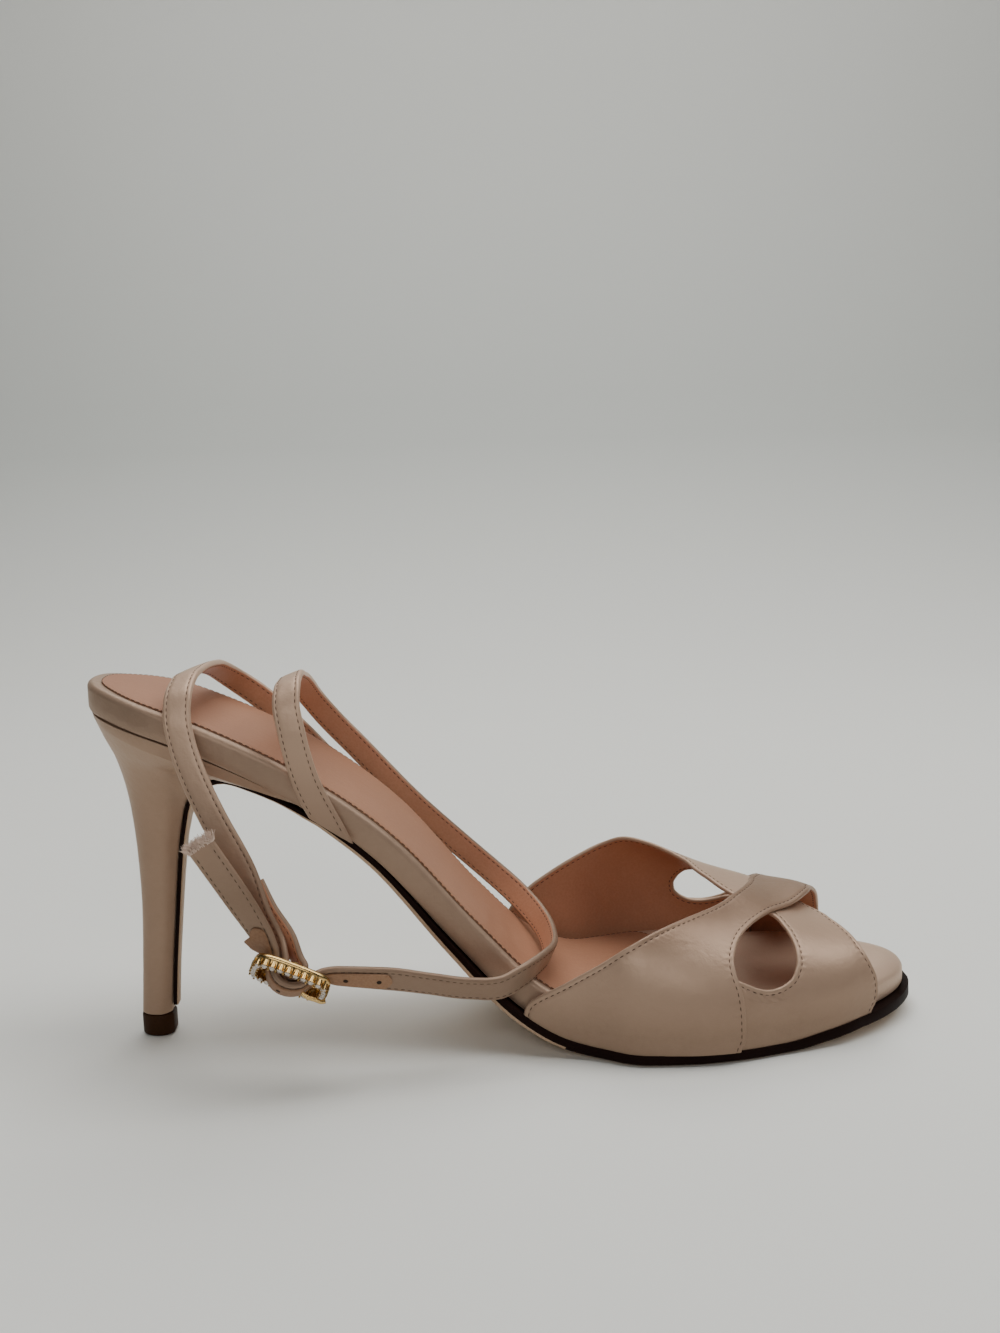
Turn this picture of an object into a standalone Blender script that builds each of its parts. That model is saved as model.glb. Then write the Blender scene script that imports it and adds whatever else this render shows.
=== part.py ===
"""Right slingback sandal: two crossing satin bands on a stiletto heel, built on the form of its last.

Tables are in millimetres and meshes in metres. X runs from the back of the footbed (0) to the toe, -Y is the
outer side of the foot, and Z is the height over the floor. One empty carries every piece and moves the shoe so
that the middle of its box, on the floor, is the origin.
"""

import math

import bmesh
import bpy
import numpy as np
from mathutils import Vector

MM = 0.001
GAP = 0.3


def table(columns, rows):
    """A short table as one array for each named column."""
    values = np.array(rows, float)
    return {name: values[:, i] for i, name in enumerate(columns.split())}


# Driving sizes of the sole
LENGTH = 217.0
HEEL_ROUND = 22.0
BACK_POWER = 2.3
TOE_ROUND = 38.0
TOE_POWER = 2.2
TOE_SWING = 3.0
SWING_START = 150.0
UPRIGHT_BACK = 25.0
OUTLINE_STATIONS = 52
LINE_POINTS = 436

# Middle line of the footbed's top. It is level from the ball to the tread's front, and lifts at the toe.
FOOTBED_LINE = table("x z", [
    (0, 99.0), (6, 97.3), (20, 93.0), (40, 84.3), (60, 72.9), (80, 56.7), (100, 33.3), (115, 18.4),
    (124, 13.6), (136, 12.1), (147, 11.9), (176, 11.9), (187, 12.9), (199, 13.8), (217, 13.8),
])
# Half widths of the sole before its two ends are rounded off
OUTLINE = table("x outer inner", [
    (6, 20.3, 20.3), (25, 24.2, 24.2), (50, 25.0, 24.6), (80, 23.2, 22.8), (105, 25.0, 24.4),
    (125, 30.4, 28.8), (142, 38.0, 35.6), (152, 38.4, 37.6), (165, 37.2, 36.0), (185, 32.4, 29.4),
    (200, 30.5, 23.8), (217, 27.5, 20.5),
])
BOARD_THICKNESS = table("x depth", [
    (0, 7.6), (30, 7.0), (90, 7.2), (135, 8.6), (176, 8.6), (200, 7.6), (217, 6.6),
])
SOLE_THICKNESS = table("x depth", [(60, 2.2), (100, 2.6), (140, 3.0), (217, 3.0)])
# The board is narrower where the upper's wall goes down beside it.
BOARD_INSET = table("x inset", [(78, 0.0), (104, 2.5), (204, 2.5), (216, 1.6)])
# The sole's waist is narrower than the board, and its tread a little wider.
SOLE_INSET = table("x inset", [(54, 1.4), (85, 1.2), (112, -0.3), (217, -0.4)])
BOARD_LEVELS = table("inset share rise", [
    (1.0, 1, 0.0), (0.0, 1, 0.8), (0.0, 0, -2.4), (0.5, 0, -0.9), (1.5, 0, -0.2), (2.6, 0, 0.0),
])

SOCK_END = 162.0
SOCK_END_ROUND = 20.0
SOCK_LEVELS = table("inset share rise", [(2.4, 0, GAP), (2.4, 0, 0.9), (2.9, 0, 1.1)])

# Heel sections from the tip up: ends, largest half width and its place, half width at the flat front.
# The last row follows the board's underside.
HEEL_SECTIONS = table("back_x back_z front_x front_z half_width round front_half", [
    (7.9, 6.3, 16.2, 6.3, 4.6, 0.62, 2.2), (8.8, 20.0, 17.3, 20.0, 4.6, 0.62, 2.2),
    (9.6, 35.0, 18.9, 35.0, 5.1, 0.62, 2.4), (9.6, 46.0, 20.2, 46.2, 5.9, 0.62, 2.8),
    (9.1, 57.2, 21.9, 57.0, 7.3, 0.62, 3.6), (8.0, 67.6, 25.4, 67.0, 10.2, 0.60, 6.5),
    (5.9, 77.2, 34.5, 72.4, 15.5, 0.52, 12.0), (2.9, 84.6, 45.0, 70.5, 20.5, 0.47, 17.6),
    (0.7, 90.6, 52.0, 69.3, 24.2, 0.42, 21.8),
])
HEEL_RINGS = 19
HEEL_SIDE_POINTS = 11
HEEL_BACK_POWER = 2.1
HEEL_FRONT_POWER = 2.4
TIP_HEIGHT = 6.0
TIP_SECTION = {"back_x": 7.75, "front_x": 16.6, "half_width": 4.7, "round": 0.62, "front_half": 2.5}
TIP_CHAMFER = 0.5
FLAP_THICKNESS = 1.0
FLAP_STATIONS = 14
# Shares of the heel's height that the flap covers, and of the half turn that spaces the tread's stations
FLAP_SPAN = (0.015, 0.985)
TREAD_SPAN = (0.17, 0.985)
TREAD_START = 58.0
TREAD_STATIONS = 44
SOLE_BEVEL = 0.7

# The last over the vamp: crest, its side shift to the inner side, and the power of the section's curve
LAST = table("x crest_z crest_y power", [
    (104, 62.0, 8, 2.6), (125, 55.8, 9, 2.6), (138, 49.6, 10, 2.6), (150, 43.6, 10, 2.6),
    (165, 37.2, 8, 2.6), (177, 33.7, 5, 2.7), (190, 28.8, 2.5, 2.9), (207, 26.0, 2, 3.0),
])
LAST_BULGE = 1.0
WALL_UNDER = 1.6
WALL_OVER = 1.9
OVERLAY_STEP = 1.3
OVERLAY_SLOPE = 4.0
OVERLAY_MARGIN = 1.0
# The over band's front edge stands up round one place of the section, between two X
FRONT_LIFT = 2.6
FRONT_LIFT_X = (178.0, 192.0)
FRONT_LIFT_T = (0.04, 0.16)
# Edges of the bands: place round the section (-1 outer base, 0 crest, 1 inner base) and X there
OVER_REAR = table("t x", [
    (-1, 106), (-0.95, 113), (-0.86, 122), (-0.70, 135), (-0.52, 148), (-0.40, 157), (-0.24, 167),
    (-0.07, 174), (0.15, 179), (0.30, 178), (0.45, 174), (0.60, 168), (0.75, 162), (0.87, 158), (1, 157),
])
OVER_FRONT = table("t x", [
    (-1, 167.0), (-0.85, 166.8), (-0.72, 166.6), (-0.60, 168.2), (-0.45, 172), (-0.28, 177),
    (-0.10, 187.6), (0, 192.4), (0.10, 194.5), (0.21, 196.2), (0.40, 198.2), (0.61, 200.3), (0.75, 201.5),
    (0.87, 202), (1, 201),
])
UNDER_REAR = table("t x", [
    (-1, 161), (-0.85, 162), (-0.75, 165), (-0.60, 171), (-0.45, 176), (-0.30, 179), (-0.20, 178.5),
    (-0.10, 176), (-0.03, 171), (0.02, 164), (0.06, 158), (0.12, 152), (0.25, 145), (0.45, 137),
    (0.58, 130), (0.70, 122), (0.80, 115), (0.92, 109), (1, 106),
])
UNDER_FRONT = table("t x", [
    (-1, 202.8), (-0.87, 203.9), (-0.75, 203.4), (-0.61, 201.6), (-0.40, 198.3), (-0.21, 195.5),
    (-0.07, 191.5), (0, 187.5), (0.10, 182), (0.28, 172), (0.45, 167), (0.60, 164), (0.72, 161.5),
    (0.85, 161.3), (1, 161.5),
])
BAND_ALONG = 40
BAND_ACROSS = 12
# Hole between the bands, as seen from the outer side
HOLE = table("x z", [
    (164.2, 26.4), (165.8, 21.7), (171, 18.3), (178.0, 19.4), (181.0, 24), (180.0, 29.2), (177.2, 32.4),
    (169, 30.8),
])
HOLE_POINTS = 32
INNER_HOLE_SHIFT = (-5.0, 1.0)
HOLE_NEAR_FAR = (8.0, 60.0)

# Straps: middle line and the direction across the width
STRAP_WIDTH = 7.0
STRAP_THICKNESS = 1.9
STRAP_STEPS = 4
LONG_ROOT = table("x y z across_x across_y across_z", [
    (64.4, -25.6, 60.1, 0.917, 0, 0.4), (58.4, -26.3, 74.0, 0.917, 0, 0.4),
    (55.3, -26.9, 87.6, 0.98, 0, 0.2), (54.3, -26.4, 93.6, 1, 0, 0.1),
    (54.4, -23.4, 97.6, 0.97, -0.1, 0.2), (54.4, -14, 98.3, 0.9, -0.25, 0.35),
    (53.9, 0, 96.3, 0.87, -0.3, 0.38), (54.2, 13, 92.8, 0.85, -0.3, 0.42),
    (56.0, 22.5, 86.8, 0.8, -0.15, 0.55), (60.5, 26.8, 79.8, 0.754, 0, 0.657),
    (67.0, 27.4, 72.4, 0.754, 0, 0.657), (82.2, 27.6, 55.2, 0.74, 0, 0.67),
    (96.6, 27.4, 41.2, 0.689, 0, 0.725), (104.6, 26.2, 34.0, 0.689, 0, 0.725),
    (110.8, 22.6, 28.9, 0.64, 0.1, 0.75), (115.6, 16.6, 24.9, 0.55, 0.15, 0.82),
    (118.4, 8.5, 22.9, 0.47, 0.08, 0.88), (119.5, -2, 22.0, 0.45, 0, 0.89),
    (118.9, -13, 22.4, 0.42, -0.08, 0.9), (116.2, -22.5, 23.3, 0.35, -0.15, 0.92),
    (111.4, -30, 22.6, 0.1, -0.25, 0.96), (105.7, -33.3, 20.9, 0, -0.35, 0.94),
    (97.7, -35.2, 21.6, 0, -0.45, 0.89), (87.4, -37.6, 24.0, 0.03, -0.55, 0.83),
    (78.6, -39.5, 25.9, 0.06, -0.6, 0.8), (72.3, -40.4, 26.9, 0.12, -0.66, 0.74),
])
# Through the buckle, in its own axes: under the frame's front end, over the bar, up inside its back end
LONG_THROUGH = table("along out", [
    (9.9, -3.8), (7.3, -3.5), (4.7, -0.8), (2.6, 2.0), (0.0, 2.95), (-2.6, 2.5), (-4.4, 0.6), (-5.1, -2.0),
])
LONG_TAIL = table("x y z across_x across_y across_z", [
    (48.6, -41.9, 37.6, 0.5, -0.6, 0.6), (46.4, -42.6, 42.4, 0.72, -0.4, 0.52),
    (42.6, -43.6, 49.6, 0.86, -0.15, 0.48), (34.4, -44, 63.3, 0.877, 0, 0.48),
])
SHORT_ROOT = table("x y z across_x across_y across_z", [
    (63.5, 25.6, 62.8, 0.678, 0, 0.735), (50.0, 26.4, 78.2, 0.678, 0, 0.735),
    (40.3, 27.0, 87.6, 0.69, 0, 0.72), (33.6, 25.6, 93.0, 0.75, -0.1, 0.63),
    (30.6, 18, 97.0, 0.84, -0.25, 0.45), (29.6, 6, 99.3, 0.88, -0.28, 0.36),
    (28.6, -8, 100.1, 0.92, -0.25, 0.28), (28.0, -19, 99.8, 0.96, -0.2, 0.15),
    (27.4, -25.2, 97.2, 0.98, -0.1, 0.05), (27.3, -27.4, 91.4, 0.99, 0, 0.0),
    (28.6, -28.2, 84.5, 0.96, 0, 0.25), (32.3, -31, 74.7, 0.92, 0, 0.38), (35.8, -33, 67.5, 0.9, 0, 0.43),
    (42.7, -36.0, 54.5, 0.87, 0, 0.48), (48.9, -37.4, 43.6, 0.75, -0.4, 0.52),
    (52.4, -38.6, 37.6, 0.5, -0.62, 0.58),
])
# The short strap's loop round the bar, in the buckle's own axes
SHORT_LOOP = table("along out", [(-0.6, -3.5), (1.4, -2.7), (2.05, -1.3), (1.4, 0.2), (0.0, 0.7)])
# A strap's end is cut along the sole's seam: shift along the strap for each millimetre across it
LONG_SLANT, LONG_SLANT_FADE = -1.26, 14.0
SHORT_SLANT, SHORT_SLANT_FADE = -2.6, 24.0

# Buckle: middle, long axis along the strap, short axis across it
BUCKLE_MIDDLE = Vector((54.2, -43.2, 29.3))
BUCKLE_LONG = Vector((0.916, 0.0, -0.402)).normalized()
BUCKLE_ACROSS = Vector((0.257, -0.766, 0.586)).normalized()
BUCKLE_OUT = BUCKLE_LONG.cross(BUCKLE_ACROSS).normalized()
FRAME_HALF_LENGTH = 8.9
FRAME_HALF_WIDTH = 5.6
FRAME_POWER = 4.0
FRAME_POINTS = 36
# Section of the frame: a thin rim with a deep row of settings
FRAME_SECTION = table("side out", [
    (-1.0, -1.3), (-0.7, -1.6), (0.7, -1.6), (1.0, -1.3), (1.0, 1.9), (0.7, 2.2), (-0.7, 2.2), (-1.0, 1.9),
])
BAR_WIRE = 0.75
BAR_OUT = -1.3
WELD = 0.01
PRONG_WIRE = 0.55
PRONG_ROUTE = table("along out", [(5.4, 3.2), (7.6, 3.15), (9.9, 3.05)])

PATCH_WIDTH = 4.6
PATCH_THICKNESS = 0.5
PATCH_GAP = 0.45
# Rows of the long strap between which the hole patch lies
PATCH_ROWS = (24, 35)

COLOURS = {
    "satin": ((0.66, 0.50, 0.42, 1), 0.42, 0.0),
    "lining": ((0.72, 0.45, 0.34, 1), 0.5, 0.0),
    "edge": ((0.06, 0.03, 0.02, 1), 0.45, 0.0),
    "patch": ((0.30, 0.17, 0.09, 1), 0.5, 0.0),
    "gold": ((0.80, 0.60, 0.30, 1), 0.25, 1.0),
}


def hermite(xs, ys, slopes):
    """A piecewise cubic through the points, with the slope given at each."""
    steps = np.diff(xs)

    def at(x):
        x = np.clip(x, xs[0], xs[-1])
        i = np.clip(np.searchsorted(xs, x, side="right") - 1, 0, len(steps) - 1)
        h = steps[i]
        t = (x - xs[i]) / h
        start = (1 + 2 * t) * (1 - t) ** 2 * ys[i] + t * (1 - t) ** 2 * h * slopes[i]
        end = t * t * (3 - 2 * t) * ys[i + 1] + t * t * (t - 1) * h * slopes[i + 1]
        return start + end

    return at


def level_curve(xs, ys):
    """A smooth curve through the points that never overshoots, so level stretches stay level."""
    chords = np.diff(ys) / np.diff(xs)
    slopes = np.zeros(len(ys))
    slopes[0], slopes[-1] = chords[0], chords[-1]
    for i in range(1, len(ys) - 1):
        before, after = chords[i - 1], chords[i]
        if before * after > 0:
            slopes[i] = 2 * before * after / (before + after)
    return hermite(xs, ys, slopes)


def free_curve(xs, ys):
    """A smooth curve through the points with slopes from their neighbours."""
    return hermite(xs, ys, np.gradient(ys, xs))


def bed_curve(xs, ys):
    """A free curve that stays level along a stretch of like heights."""
    slopes = np.gradient(ys, xs)
    level = np.diff(ys) == 0
    slopes[:-1][level] = 0.0
    slopes[1:][level] = 0.0
    return hermite(xs, ys, slopes)


def ease(x, start, end):
    """0 before start, 1 after end, smooth between."""
    t = np.clip((x - start) / (end - start), 0.0, 1.0)
    return t * t * (3 - 2 * t)


footbed_z = bed_curve(FOOTBED_LINE["x"], FOOTBED_LINE["z"])
outer_width = level_curve(OUTLINE["x"], OUTLINE["outer"])
inner_width = level_curve(OUTLINE["x"], OUTLINE["inner"])
board_depth = level_curve(BOARD_THICKNESS["x"], BOARD_THICKNESS["depth"])
sole_depth = level_curve(SOLE_THICKNESS["x"], SOLE_THICKNESS["depth"])
board_inset = level_curve(BOARD_INSET["x"], BOARD_INSET["inset"])
sole_inset = level_curve(SOLE_INSET["x"], SOLE_INSET["inset"])

LINE_X = np.linspace(0.0, LENGTH, LINE_POINTS)
LINE_Z = footbed_z(LINE_X)
LINE_LEAN = np.gradient(LINE_Z, LINE_X) * ease(LINE_X, 0.0, UPRIGHT_BACK)
LINE_S = np.concatenate([[0.0], np.cumsum(np.hypot(np.diff(LINE_X), np.diff(LINE_Z)))])


def place(x, y, rise):
    """A point over the footbed's line, at a height along the line's own normal."""
    lean = np.interp(x, LINE_X, LINE_LEAN)
    up = rise / math.sqrt(1 + lean * lean)
    return Vector((x - lean * up, y, float(footbed_z(x)) + up))


def underside_line():
    """X and Z of the board's underside along the shoe."""
    points = [place(x, 0.0, -float(board_depth(x))) for x in LINE_X]
    return np.array([p.x for p in points]), np.array([p.z for p in points])


UNDER_X, UNDER_Z = underside_line()


def underside_z(x):
    """Height of the board's underside."""
    return float(np.interp(x, UNDER_X, UNDER_Z))


def end_rounding(x, end=LENGTH, end_round=TOE_ROUND):
    """1 along the sole, falling to 0 at the round back and the round front end."""
    back = min(max(1 - x / HEEL_ROUND, 0.0), 1.0)
    front = min(max((x - end + end_round) / end_round, 0.0), 1.0)
    return (1 - back ** BACK_POWER) ** (1 / BACK_POWER) * math.sqrt(1 - front ** TOE_POWER)


def edge_y(x, side, end=LENGTH, end_round=TOE_ROUND):
    """Y of the sole's edge on the outer (-1) or inner (1) side."""
    width = outer_width(x) if side < 0 else inner_width(x)
    swing = TOE_SWING * float(ease(x, SWING_START, LENGTH))
    return swing + side * float(width) * end_rounding(x, end, end_round)


def outline_loop(end=LENGTH, end_round=TOE_ROUND):
    """The sole's edge as (length along the line, Y), round from the back by the outer side."""
    turn = np.linspace(0.0, math.pi, OUTLINE_STATIONS + 1)
    stations = end * (1 - np.cos(turn)) / 2
    outer = [(x, edge_y(x, -1, end, end_round)) for x in stations]
    inner = [(x, edge_y(x, 1, end, end_round)) for x in stations[-2:0:-1]]
    return np.array([(np.interp(x, LINE_X, LINE_S), y) for x, y in outer + inner])


def inset_ring(loop, levels, row, narrower):
    """One level of a slab: the outline moved in, and set at its height over the footbed's line."""
    ahead = np.roll(loop, -1, axis=0) - np.roll(loop, 1, axis=0)
    ahead /= np.linalg.norm(ahead, axis=1)[:, None]
    ring = []
    for (s, y), (along, across) in zip(loop, ahead):
        here = np.interp(s, LINE_S, LINE_X)
        inset = levels["inset"][row] + (float(board_inset(here)) if narrower else 0.0)
        x = float(np.interp(s - across * inset, LINE_S, LINE_X))
        rise = levels["rise"][row] - levels["share"][row] * float(board_depth(x))
        ring.append(place(x, y + along * inset, rise))
    return ring


def material(slot):
    """The plain finish of one slot, made once."""
    if slot in bpy.data.materials:
        return bpy.data.materials[slot]
    colour, roughness, metallic = COLOURS[slot]
    made = bpy.data.materials.new(slot)
    made.use_nodes = True
    shader = made.node_tree.nodes["Principled BSDF"]
    shader.inputs["Base Color"].default_value = colour
    shader.inputs["Roughness"].default_value = roughness
    shader.inputs["Metallic"].default_value = metallic
    return made


def add_object(name, bm, slot, collection, crease=40.0):
    """A mesh object from a bmesh in millimetres, shaded smooth between its creases."""
    bmesh.ops.scale(bm, vec=(MM, MM, MM), verts=bm.verts)
    bmesh.ops.recalc_face_normals(bm, faces=bm.faces)
    mesh = bpy.data.meshes.new(name)
    bm.to_mesh(mesh)
    bm.free()
    mesh.shade_smooth()
    mesh.set_sharp_from_angle(angle=math.radians(crease))
    mesh.materials.append(material(slot))
    made = bpy.data.objects.new(name, mesh)
    collection.objects.link(made)
    return made


def loft(rings, ladder_caps=False, endless=False):
    """A closed skin through rings of like point counts. A ladder cap suits a ring that isn't flat."""
    bm = bmesh.new()
    rows = [[bm.verts.new(point) for point in ring] for ring in rings]
    count = len(rows[0])
    following = rows[1:] + rows[:1] if endless else rows[1:]
    for low, high in zip(rows, following):
        for i in range(count):
            j = (i + 1) % count
            bm.faces.new((low[i], low[j], high[j], high[i]))
    if endless:
        return bm
    for row in (rows[0], rows[-1]):
        if not ladder_caps:
            bm.faces.new(row)
            continue
        half = count // 2
        bm.faces.new((row[0], row[1], row[-1]))
        for i in range(1, half - 1):
            bm.faces.new((row[i], row[i + 1], row[count - i - 1], row[count - i]))
        bm.faces.new((row[half - 1], row[half], row[half + 1]))
    return bm


def make_footbed(parts):
    loop = outline_loop()
    rings = [inset_ring(loop, BOARD_LEVELS, row, True) for row in range(len(BOARD_LEVELS["inset"]))]
    return add_object("footbed", loft(rings, ladder_caps=True), "satin", parts)


def make_sock(parts):
    loop = outline_loop(SOCK_END, SOCK_END_ROUND)
    rings = [inset_ring(loop, SOCK_LEVELS, row, True) for row in range(len(SOCK_LEVELS["inset"]))]
    return add_object("sock", loft(rings, ladder_caps=True), "lining", parts)


def heel_ring(size, inset, height):
    """A section round at the back and narrowing to a flat front, with its heights from a function of X."""
    back_x, front_x = size["back_x"] + inset, size["front_x"] - inset
    half_width, front_half = size["half_width"] - inset, size["front_half"] - inset
    turns = np.linspace(0.0, math.pi, HEEL_SIDE_POINTS + 1)
    shares = (1 - np.cos(turns)) / 2
    side = []
    for share in shares:
        behind = max(1 - share / size["round"], 0.0)
        ahead = max((share - size["round"]) / (1 - size["round"]), 0.0)
        width = half_width * (1 - behind ** HEEL_BACK_POWER) ** (1 / HEEL_BACK_POWER)
        width -= (half_width - front_half) * ahead ** HEEL_FRONT_POWER
        side.append((back_x + share * (front_x - back_x), width))
    points = [(x, -y) for x, y in side] + [(front_x, 0.0)] + [(x, y) for x, y in side[:0:-1]]
    return [Vector((x, y, height(x))) for x, y in points]


def heel_section(share):
    """The heel's sizes at a share of the way from its tip to the seat."""
    steps = np.arange(len(HEEL_SECTIONS["back_x"]), dtype=float)
    at = share * steps[-1]
    return {name: float(free_curve(steps, column)(at)) for name, column in HEEL_SECTIONS.items()}


def make_heel(parts):
    rings = []
    for share in np.linspace(0.0, 1.0, HEEL_RINGS):
        size = heel_section(share)
        fall = (size["front_z"] - size["back_z"]) / (size["front_x"] - size["back_x"])

        def height(x, size=size, fall=fall, seat=share == 1.0):
            sloped = size["back_z"] + fall * (x - size["back_x"])
            return underside_z(x) - GAP if seat else min(sloped, underside_z(x) - 2 * GAP)

        rings.append(heel_ring(size, 0.0, height))
    return add_object("heel", loft(rings, ladder_caps=True), "satin", parts)


def make_heel_tip(parts):
    rings = []
    for z, inset in ((0.0, TIP_CHAMFER), (TIP_CHAMFER, 0.0), (TIP_HEIGHT, 0.0)):
        rings.append(heel_ring(TIP_SECTION, inset, lambda x, z=z: z))
    return add_object("heel_tip", loft(rings, ladder_caps=True), "edge", parts)


def sole_section(top, lean, outer_y, inner_y, depth):
    """The sole across one station: flat top, upright edges and a bevelled bottom. lean is its fall angle."""
    down = Vector((-math.sin(lean), 0.0, -math.cos(lean)))
    bevel = min(SOLE_BEVEL, depth / 3)
    corners = ((inner_y, 0.0), (outer_y, 0.0), (outer_y, depth - bevel), (outer_y + bevel, depth),
               (inner_y - bevel, depth), (inner_y, depth - bevel))
    return [top + down * drop + Vector((0.0, y, 0.0)) for y, drop in corners]


def make_outsole(parts):
    """The sole: a flap down the heel's front, then the waist under the wing, then the tread."""
    path = []
    for share in np.linspace(*FLAP_SPAN, FLAP_STATIONS):
        size = heel_section(share)
        path.append((size["front_x"], size["front_z"], size["front_half"], FLAP_THICKNESS))
    turn = math.pi * np.linspace(*TREAD_SPAN, TREAD_STATIONS)
    for x in TREAD_START + (LENGTH - TREAD_START) * (1 - np.cos(turn)) / 2:
        path.append((x, None, None, None))
    tops = []
    for x, z, half_width, depth in path:
        if z is None:
            top = place(x, 0.0, -float(board_depth(x)) - GAP)
            inset = float(sole_inset(x))
            tops.append((top, edge_y(x, -1) + inset, edge_y(x, 1) - inset, float(sole_depth(x))))
        else:
            tops.append((Vector((x, 0.0, z)), -half_width, half_width, depth))
    rings = []
    for i, (top, outer_y, inner_y, depth) in enumerate(tops):
        ahead = tops[min(i + 1, len(tops) - 1)][0] - tops[max(i - 1, 0)][0]
        lean = math.atan2(-ahead.z, ahead.x)
        if path[i][1] is not None:
            down = Vector((-math.sin(lean), 0.0, -math.cos(lean)))
            top = top + down * GAP
        ring = sole_section(top, lean, outer_y, inner_y, depth)
        rings.append([Vector((point.x, point.y, max(point.z, 0.0))) for point in ring])
    return add_object("outsole", loft(rings), "edge", parts)


last_crest_z = free_curve(LAST["x"], LAST["crest_z"])
last_crest_y = level_curve(LAST["x"], LAST["crest_y"])
last_power = level_curve(LAST["x"], LAST["power"])
over_rear = level_curve(OVER_REAR["t"], OVER_REAR["x"])
over_front = level_curve(OVER_FRONT["t"], OVER_FRONT["x"])
under_rear = level_curve(UNDER_REAR["t"], UNDER_REAR["x"])
under_front = level_curve(UNDER_FRONT["t"], UNDER_FRONT["x"])


def last_point(x, t, lift):
    """A point on the last's section at X, at place t round it, lifted along the section's normal."""
    side = -1 if t < 0 else 1
    power = float(last_power(x))
    crest_y = float(last_crest_y(x))
    base_z = underside_z(x)
    station = float(np.interp(x, UNDER_X, LINE_X))
    reach = edge_y(station, side) - crest_y
    tall = float(last_crest_z(x)) - base_z
    turn = abs(t) * math.pi / 2
    across = math.sin(turn) ** (2 / power)
    up = max(math.cos(turn), 0.0) ** (2 / power)
    bulge = side * LAST_BULGE * math.sin(math.pi * up)
    normal = Vector((0.0, side * across ** (power - 1) / abs(reach), up ** (power - 1) / tall)).normalized()
    return Vector((x, crest_y + reach * across + bulge, base_z + tall * up)) + normal * lift


def overlay_lift(x, t):
    """How far the over band stands off the last: over the under band, and more at its free front edge."""
    rear = float(under_rear(t)) - OVERLAY_MARGIN
    front = float(under_front(t)) + OVERLAY_MARGIN
    covered = ease(x, rear - OVERLAY_SLOPE, rear) * ease(-x, -front - OVERLAY_SLOPE, -front)
    middle, spread = FRONT_LIFT_T
    free_edge = ease(x, *FRONT_LIFT_X) * math.exp(-((t - middle) / spread) ** 2)
    return float(OVERLAY_STEP * covered + FRONT_LIFT * free_edge)


def make_band(name, rear, front, lift, wall, collection):
    """One band of the upper: a grid on the last between its two edges, with a wall inwards."""
    bm = bmesh.new()
    bmesh.ops.create_grid(bm, x_segments=BAND_ALONG, y_segments=BAND_ACROSS, size=1.0)
    for vert in bm.verts:
        t = float(np.clip(vert.co.x, -1.0, 1.0))
        share = (vert.co.y + 1) / 2
        x = float(rear(t)) + share * float(front(t) - rear(t))
        vert.co = last_point(x, t, lift(x, t))
    band = add_object(name, bm, "satin", collection)
    flip_outwards(band)
    solid = band.modifiers.new("wall", "SOLIDIFY")
    solid.thickness = wall * MM
    solid.offset = -1.0
    solid.use_even_offset = True
    return band


def flip_outwards(band):
    """An open band's faces point away from the foot, so that its wall goes inwards."""
    mesh = band.data
    up = sum(face.normal.z * face.area for face in mesh.polygons)
    if up < 0:
        mesh.flip_normals()


def make_hole_cutter(name, shift, side, cutters):
    """A prism of the hole's outline, through one side wall of the upper."""
    count = len(HOLE["x"])
    steps = np.arange(-2, count + 3, dtype=float)
    wrapped = [int(step) % count for step in steps]
    x_at = free_curve(steps, HOLE["x"][wrapped])
    z_at = free_curve(steps, HOLE["z"][wrapped])
    turns = np.linspace(0.0, count, HOLE_POINTS, endpoint=False)
    outline = [(float(x_at(turn)) + shift[0], float(z_at(turn)) + shift[1]) for turn in turns]
    rings = [[Vector((x, side * depth, z)) for x, z in outline] for depth in HOLE_NEAR_FAR]
    return as_cutter(add_object(name, loft(rings), "edge", cutters))


def as_cutter(cutter):
    """A helper that shapes another piece and isn't one itself."""
    cutter.hide_render = True
    cutter.display_type = "WIRE"
    return cutter


def add_boolean(target, operation, other):
    cut = target.modifiers.new(other.name, "BOOLEAN")
    cut.operation = operation
    cut.object = other
    cut.solver = "EXACT"


def make_upper(parts, cutters):
    under = make_band("upper", under_rear, under_front, lambda x, t: 0.0, WALL_UNDER, parts)
    over = as_cutter(make_band("over_band", over_rear, over_front, overlay_lift, WALL_OVER, cutters))
    add_boolean(under, "UNION", over)
    add_boolean(under, "DIFFERENCE", make_hole_cutter("outer_hole", (0.0, 0.0), -1, cutters))
    add_boolean(under, "DIFFERENCE", make_hole_cutter("inner_hole", INNER_HOLE_SHIFT, 1, cutters))
    return under


def buckle_point(along, across, out):
    """A point in the buckle's own axes."""
    return BUCKLE_MIDDLE + BUCKLE_LONG * along + BUCKLE_ACROSS * across + BUCKLE_OUT * out


def rows_of(route):
    """A strap table as pairs of middle point and direction across."""
    points = np.column_stack([route["x"], route["y"], route["z"]])
    across = np.column_stack([route["across_x"], route["across_y"], route["across_z"]])
    return list(zip(points, across))


def buckle_rows(route):
    """A table in the buckle's own axes as pairs of middle point and direction across."""
    across = np.array(BUCKLE_ACROSS)
    places = zip(route["along"], route["out"])
    return [(np.array(buckle_point(along, 0.0, out)), across) for along, out in places]


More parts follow.
